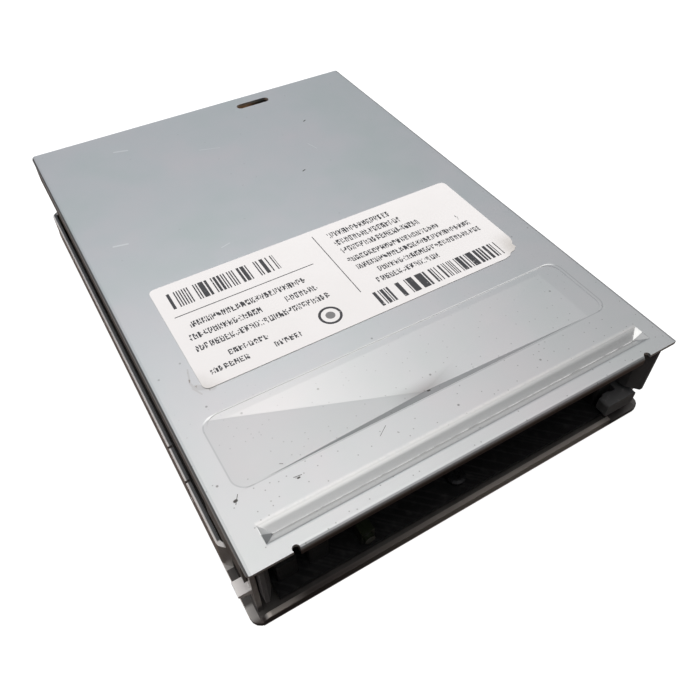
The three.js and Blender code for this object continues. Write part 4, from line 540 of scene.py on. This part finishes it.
# Screws: plated steel, duller than the rods, with the driver's rub marks on their heads. They hold
# the main board, the stepper motor and the straps over the guide rod.
screws = material("screw_plate", Metallic=0.85)
cloud = screws.noise(0.8, 3)
rub = screws.noise(0.25, 2).ease(0.55, 0.7)
screws.set(Base_Color=(rub * 0.6).blend((0.46, 0.46, 0.45), (0.66, 0.66, 0.65)),
           Roughness=0.3 + 0.2 * cloud)
screws.bump(cloud * 0.7 + rub * 0.3, 0.006)
screws.cover("main_board_screw_1", "main_board_screw_2", "main_board_screw_3", "stepper_screw_left",
             "stepper_screw_right", "rod_clamp_screw_front", "rod_clamp_screw_rear")

# Head carriage and rod seats: die-cast aluminium, with the flow lines and pits of its skin. The
# carriage slides on the guide rod, which lies in the two seats.
cast = material("cast_aluminium", Metallic=0.85)
flow = cast.noise(1.8, 4, (1, 0.35, 1))
pits = cast.spots(0.9, 0.09, 0.3)
cast.set(Base_Color=(flow - pits * 0.4).blend((0.42, 0.43, 0.44), (0.62, 0.63, 0.64)),
         Roughness=0.42 + 0.14 * flow + 0.1 * pits)
cast.bump(flow - pits, 0.012)
cast.cover("head_carriage", "rod_seat_front", "rod_seat_rear")

# Heads: polished ceramic, nearly black, with a fine speckle and cloudy rubs from the disks. The
# lower one is set in the carriage and the upper one hangs under the sprung arm.
ceramic = material("head_ceramic", Metallic=0)
speck = ceramic.noise(0.15, 2)
rub = ceramic.noise(1.5, 3)
ceramic.set(Base_Color=speck.blend((0.02, 0.018, 0.018), (0.045, 0.04, 0.038)),
            Roughness=0.12 + 0.16 * rub)
ceramic.bump(rub, 0.002)
ceramic.cover("lower_head", "upper_head")

# Flexible cables: amber polyimide film over copper strips that run along it, under a glossy skin.
# One joins the head carriage to the main board, the other the spindle motor's board.
strip_pitch = 0.8
film = material("amber_film", Metallic=0.15)
here = film.place()
strip = (here.axis(0) / strip_pitch).fraction() < 0.55
cloud = film.noise(4, 3)
tone = strip.blend((0.38, 0.17, 0.065), (0.58, 0.34, 0.16))
film.set(Base_Color=(cloud * 0.2).blend(tone, (0.28, 0.12, 0.05)), Roughness=0.22 + 0.14 * cloud,
         Coat_Weight=0.3 + 0.2 * cloud)
film.bump(strip * 0.8 + cloud * 0.2, 0.02)
film.cover("head_flex", "motor_flex")

# Disk carrier and eject slide: thin plated sheet, semi-bright, with drawing streaks along its
# length and dull rubbed tracks where the pins and ramps run on each other.
drawn = material("carrier_sheet", Metallic=0.75)
streak = drawn.noise(0.5, 3, (1, 0.04, 1))
cloud = drawn.noise(9, 3)
rub = drawn.noise(1.1, 4, (1, 0.15, 1)).ease(0.5, 0.72)
# Painted shade: the base tone is set far darker than bare plate, so these parts read dark inside the slot.
tone = streak.blend((0.215, 0.22, 0.225), (0.275, 0.275, 0.275))
drawn.set(Base_Color=(rub * 0.35).blend(tone, (0.20, 0.19, 0.18)),
          Roughness=0.34 + 0.12 * cloud + 0.1 * rub)
drawn.bump(streak * 0.7 + cloud * 0.3, 0.005)
drawn.cover("disk_carrier", "eject_slide")

# The return springs and the head's flexible cable are held at both ends by pieces that move apart.
# Each is replaced by a copy of its solid with doubled points merged; the listed body, slot and ends are not
# used here.
merge_distance = 0.001
sharp_edge = 35
for name, mover, slot, still, carried in (
    ("slide_spring_left", "slide", "bright_steel", (0, -24.5, 5.5), (0, -0.5, 5.5)),
    ("slide_spring_right", "slide", "bright_steel", (0, -24.5, 5.5), (0, -0.5, 5.5)),
    ("head_flex", "carriage", "amber_film", (0, 61.5, 15), (0, 58, 18.5)),
):
    bm = bmesh.new()
    bm.from_mesh(nodes[name].data)
    bmesh.ops.remove_doubles(bm, verts=bm.verts, dist=merge_distance * MM)
    for face in bm.faces:
        face.smooth = True
    for edge in bm.edges:
        edge.smooth = edge.calc_face_angle(0) < math.radians(sharp_edge)
    stretching = bpy.data.objects.new("stretching_" + name, bpy.data.meshes.new("stretching_" + name))
    bm.to_mesh(stretching.data)
    bm.free()
    scene.collection.objects.link(stretching)
    stretching.data.materials.append(nodes[name].material_slots[0].material)
    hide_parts(name)
    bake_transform(stretching)

# Entry guides and eject button: moulded in dark grey plastic with a fine spark-eroded grain, rubbed
# paler in patches, and paler towards the front edge as a painted highlight.
moulded = material("grey_moulding", Metallic=0)
grain = moulded.noise(0.22, 2)
cloud = moulded.noise(3.5, 3)
rub = moulded.noise(1.3, 3).ease(0.55, 0.75)
tone = cloud.blend((0.06, 0.061, 0.064), (0.10, 0.10, 0.104))
# Painted highlight: paler over the last few millimetres towards the front.
front_highlight = (moulded.place().axis(1) - front).ease(7, 2)
moulded.set(Base_Color=(rub * 0.4 + front_highlight * 0.3).blend(tone, (0.26, 0.25, 0.25)),
            Roughness=0.5 + 0.15 * cloud)
moulded.bump(grain, 0.02)
moulded.cover("left_entry_guide", "right_entry_guide", "eject_button")

# Top cover: zinc-plated sheet steel, pressed and folded. The plating is mottled at the scale of a
# fingertip and finely grained, with dark specks that thicken towards the front edge, a few bright
# and dark scratches, and old glue that the label has left at its front left corner.
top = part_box("top_cover")[1].z / MM
recess_half = 44.75
recess_front, recess_rear = 14.9, 32.7
recess_corner = 3
recess_fold_slope = 0.374
groove_left, groove_right = -44.7, 45.3
groove_front, groove_valley, groove_rear = 3.5, 5.55, 7.5
fold_start = 49.1
zinc = material("zinc_plate", Metallic=0.75)
mottle = zinc.noise(26, 3)
cloud = zinc.noise(7, 4)
grain = zinc.noise(0.35, 2)
tone = zinc.node("ShaderNodeValToRGB", {"stops": [
    (0.32, (0.585, 0.625, 0.625)), (0.5, (0.62, 0.635, 0.65)), (0.68, (0.655, 0.640, 0.66)),
]}, {0: mottle * 0.75 + cloud * 0.25})
here = zinc.place()
behind = here.axis(1) - front
small = zinc.spots(1.5, 0.17, 0.2, "2D") * behind.ease(44, 8, 0.05, 1)
large = zinc.spots(5.3, 0.3, 0.12, "2D") * behind.ease(80, 10, 0.15, 1)
specks = small * 0.6 + large * 0.8


def mark(start, end, radius):
    """A mark on the cover, its ends measured from the middle of the front edge."""
    return zinc.stroke((start[0], front + start[1]), (end[0], front + end[1]), radius)


dark = specks * 0.75
for start, end, radius in (
    ((-45.8, 13.55), (-45.5, 13.6), 0.38),
    ((-45.9, 12.9), (-44.8, 14.6), 0.08),
    ((-34.2, 12.0), (-33.9, 12.0), 0.25),
    ((-34.8, 12.5), (-33.3, 12.3), 0.09),
    ((-35.6, 16.5), (-35.1, 16.2), 0.1),
    ((-2.4, 16.7), (-2.1, 16.7), 0.36),
    ((-16.8, 12.0), (-14.6, 13.5), 0.06),
    ((12.2, 96.4), (13.0, 96.7), 0.2),
    ((24.8, 119.4), (25.5, 119.7), 0.2),
):
    dark = dark.most(mark(start, end, radius))
bright = 0
for start, end, radius in (
    ((-29.1, 132.6), (-25.6, 131.6), 0.4),
    ((-42.3, 91.9), (-39.0, 91.2), 0.35),
    ((-20.0, 78.0), (-17.6, 78.6), 0.15),
    ((20.0, 108.0), (21.0, 104.4), 0.12),
    ((-8.0, 121.0), (-2.5, 119.2), 0.12),
    ((-12.9, 6.2), (-12.6, 5.8), 0.5),
):
    bright = bright + mark(start, end, radius)
bright = bright.least(1)
crumbs = zinc.noise(0.7, 2).ease(0.55, 0.68)
glue = 0
for start, end, radius in (
    ((-41.6, 46.0), (-42.5, 42.4), 0.22),
    ((-42.5, 42.4), (-42.2, 40.1), 0.3),
    ((-42.2, 40.1), (-41.5, 38.6), 0.25),
    ((-42.0, 40.8), (-39.0, 39.0), 0.9),
):
    glue = glue + mark(start, end, radius)
glue = glue.least(1) * (0.25 + 0.75 * crumbs)
tone = (glue * 0.7).blend(tone, (0.24, 0.19, 0.15))
tone = dark.blend(tone, (0.025, 0.024, 0.023))
tone = (bright * 0.6).blend(tone, (0.86, 0.87, 0.88))
below = top - here.axis(2)
side = abs(here.axis(0)) > fold_start
# Painted shade and highlight: the side flanges are painted dark, with a painted shade line and then a
# painted highlight along the fold.
flange_shade = below.ease(0.9, 1.5) * side
tone = (flange_shade * (0.55 + 0.3 * cloud)).blend(tone, (0.16, 0.155, 0.15))
fold_shade = below.ease(0.1, 0.2) * below.ease(0.5, 0.4) * side
tone = (fold_shade * 0.75).blend(tone, (0.16, 0.155, 0.15))
fold_gleam = below.ease(0.5, 0.6) * below.ease(1.05, 0.9) * side
tone = (fold_gleam * 0.8).blend(tone, (0.92, 0.9, 0.89))
# Painted shade: the cover's front lip face is painted dark brown.
lip_face_shade = below.ease(0.45, 0.9) * behind.ease(1.6, 1.2)
tone = (lip_face_shade * 0.85).blend(tone, (0.12, 0.095, 0.088))
tone = behind.ease(60, 5, 0, 0.16).blend(tone, (0.66, 0.60, 0.56))
across = here.axis(0)
# Painted shade: the cover's underside inside the flanges is painted near black.
inside = below.ease(0.85, 1.3) * (abs(across) < 49.5)
tone = (inside * 0.85).blend(tone, (0.06, 0.042, 0.036))
recess_middle = (recess_front + recess_rear) / 2
beside = (abs(across) - (recess_half - recess_corner)).most(0)
ahead = (abs(behind - recess_middle) - (recess_middle - recess_front - recess_corner)).most(0)
reach = (beside * beside + ahead * ahead).root()
dished = reach.ease(recess_corner, recess_corner - 0.1)
# Painted light and shade on the recess: its rear facets get a painted highlight on their left part, its
# front facets a painted grey shade on their left part.
rear_side = (behind - recess_rear + (across + recess_half) * recess_fold_slope).ease(-0.1, 0.1)
tone = (rear_side * dished * across.ease(-32, 6, 0.33, 0)).blend(tone, (0.90, 0.88, 0.86))
tone = ((1 - rear_side) * dished * across.ease(5, -15, 0, 0.28)).blend(tone, (0.46, 0.46, 0.46))
pressed = (below < 1.6) * across.inside(groove_left, groove_right)
# Painted shade on the groove's front slope, and painted highlights on its rear slope and its rear shoulder.
groove_front_shade = behind.ease(groove_front - 0.1, groove_front + 0.1)
groove_front_shade = groove_front_shade * behind.ease(groove_valley + 0.05, groove_valley - 0.05) * pressed
tone = (groove_front_shade * 0.75).blend(tone, (0.36, 0.365, 0.37))
groove_rear_highlight = behind.ease(groove_valley - 0.05, groove_valley + 0.05)
groove_rear_highlight = groove_rear_highlight * behind.ease(groove_rear + 0.1, groove_rear - 0.3) * pressed
tone = groove_rear_highlight.blend(tone, (0.93, 0.93, 0.92))
shoulder_highlight = behind.ease(groove_rear - 0.5, groove_rear) * behind.ease(groove_rear + 0.9, groove_rear + 0.2)
shoulder_highlight = shoulder_highlight * pressed * zinc.noise(0.8, 2).ease(0.3, 0.6, 0.3, 1)
tone = (shoulder_highlight * 0.45).blend(tone, (0.80, 0.78, 0.76))
# Painted highlight: a thin pale line along the groove's valley, broken up by noise, and less metallic
# there.
valley = abs(behind - groove_valley).ease(0.14, 0.05) * (abs(across) < groove_right - 2.5)
valley_highlight = valley * zinc.noise(3, 2).ease(0.3, 0.6, 0.25, 0.8)
tone = valley_highlight.blend(tone, (0.95, 0.95, 0.94))
# Painted shade along the recess rim's front part, and a painted highlight on its rear wall, which is also
# less metallic.
rim_line = abs(reach - recess_corner).ease(0.2, 0.08)
rear_rim_highlight = rim_line * behind.ease(31, 32.4)
tone = (rim_line * behind.ease(32.2, 31) * 0.4).blend(tone, (0.30, 0.31, 0.32))
tone = (rear_rim_highlight * 0.7).blend(tone, (0.80, 0.80, 0.79))
zinc.set(Base_Color=tone, Metallic=0.75 - 0.4 * valley_highlight - 0.5 * rear_rim_highlight,
         Roughness=0.28 + 0.08 * cloud + 0.2 * glue + 0.3 * dark)
shoulders = 0
for edge, spread in ((groove_rear, 0.8), (groove_front, 0.4)):
    inward = (spread - abs(behind - edge)).most(0)
    shoulders = shoulders + inward * inward * (0.12 / spread)
zinc.bump(grain * 0.004 + cloud * 0.0025 - specks * 0.006 - bright * 0.006 - shoulders * pressed, 1)
zinc.cover("top_cover")

# Label: a printed paper sticker, rubbed through at its right front corner, with its print a plain
# pattern of bar rows, rules and strokes that says nothing. It lies flat on the cover behind the recess.
label_thickness = 0.12
label_lift = 0.01
label_left, label_right = -40.7, 41.7
label_front, label_rear = front + 39.1, front + 72.2
corner_radius = 1.4
torn = [
    (41.7, 5.6), (41.35, 4.3), (40.6, 3.4), (40.75, 2.3),
    (39.6, 1.35), (38.3, 1.1), (37.4, 0.35), (35.9, 0.0),
]
arc_steps = 4
rim = []
for middle_x, middle_y, first in (
    (label_right - corner_radius, label_rear - corner_radius, 0),
    (label_left + corner_radius, label_rear - corner_radius, 90),
    (label_left + corner_radius, label_front + corner_radius, 180),
):
    for step in range(arc_steps + 1):
        angle = math.radians(first + step * 90 / arc_steps)
        rim.append((middle_x + corner_radius * math.cos(angle),
                    middle_y + corner_radius * math.sin(angle)))
rim += [(x, label_front + y) for x, y in reversed(torn)]
bm = bmesh.new()
paper_face = bm.faces.new([bm.verts.new((x * MM, y * MM, (top + label_lift) * MM)) for x, y in rim])
grown = bmesh.ops.extrude_face_region(bm, geom=[paper_face])
lifted = [item for item in grown["geom"] if isinstance(item, bmesh.types.BMVert)]
bmesh.ops.translate(bm, verts=lifted, vec=(0, 0, label_thickness * MM))
bmesh.ops.recalc_face_normals(bm, faces=bm.faces)
label = bpy.data.objects.new("label", bpy.data.meshes.new("label"))
bm.to_mesh(label.data)
bm.free()
scene.collection.objects.link(label)
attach(label, "root")
paper = material("label_paper", Roughness=0.5)
here = paper.place()
x, y = here.axis(0), here.axis(1) - label_front
fine_bar, wide_bar = 0.27, 0.31
ink = x.inside(2, 37) * y.inside(1.6, 6.4) * (paper.dice((x / fine_bar).floor(), 3.5) < 0.52)
ink = ink + x.inside(-37.6, -11) * y.inside(24.6, 30) * (paper.dice((x / wide_bar).floor(), 8.5) < 0.5)
ink = ink + x.inside(-38.5, -4) * y.inside(21.9, 22.15)
ink = ink + x.inside(0.4, 0.62) * y.inside(8, 31)
stroke_pitch = 1.16
grid = 5
for left_edge, right_edge, low_edge, rows, pitch, tall, seed in (
    (3.5, 39, 8.6, 4, 3.1, 0.55, 11),
    (4, 33, 21.5, 3, 3.3, 0.6, 29),
    (-38, -3, 10.2, 3, 3.6, 0.5, 47),
    (-38, -16, 3.0, 2, 3.0, 0.5, 71),
):
    row = ((y - low_edge) / pitch).floor()
    share = ((y - low_edge) / pitch).fraction()
    letter = (x / stroke_pitch).floor() + row * 131 + seed
    column = ((x / stroke_pitch).fraction() * grid).floor()
    level = (share / tall * grid).floor()
    stem = (column < 0.5) * (paper.dice(letter, 5.5) < 0.75)
    stroke = (paper.dice(letter * 23 + column * grid + level) < 0.5) * (column < 3.5)
    word = ((x + row * 3.7) / 5.8).floor() + row * 57 + seed
    end = paper.dice(row, seed + 0.5) * 12
    line = (share < tall) * stem.most(stroke) * (paper.dice(word, 2.5) > 0.18) * (x < right_edge - end)
    ink = ink + line * x.inside(left_edge, right_edge) * y.inside(low_edge, low_edge + rows * pitch)
ring_x, ring_y = x + 9, y - 5.2
from_ring = (ring_x * ring_x + ring_y * ring_y).root()
ink = ink + from_ring.inside(2.1, 2.7) + from_ring.inside(0, 1.1) * 0.8
wear = paper.noise(0.9, 3)
rubbed = paper.noise(11, 3)
ink = ink.least(1) * wear.ease(0.26, 0.36, 0.6, 0.97)
white = rubbed.blend((0.645, 0.62, 0.61), (0.685, 0.66, 0.655))
edge = (x + wear * 1.5).ease(label_right - 5.5, label_right - 0.5) * (y - wear).ease(9, 2)
grubby = (x + y * 0.8 + rubbed * 4).ease(label_left + 8, label_left + 1) * (0.5 + wear)
white = (edge * 0.7).blend(white, (0.42, 0.39, 0.36))
white = (grubby * 0.45).least(1).blend(white, (0.40, 0.37, 0.34))
paper.set(Base_Color=ink.blend(white, (0.022, 0.022, 0.026)), Roughness=0.46 + 0.1 * wear)
paper.bump(wear * 0.5 - edge * 0.5, 0.02)
label.data.materials.append(paper.owner)
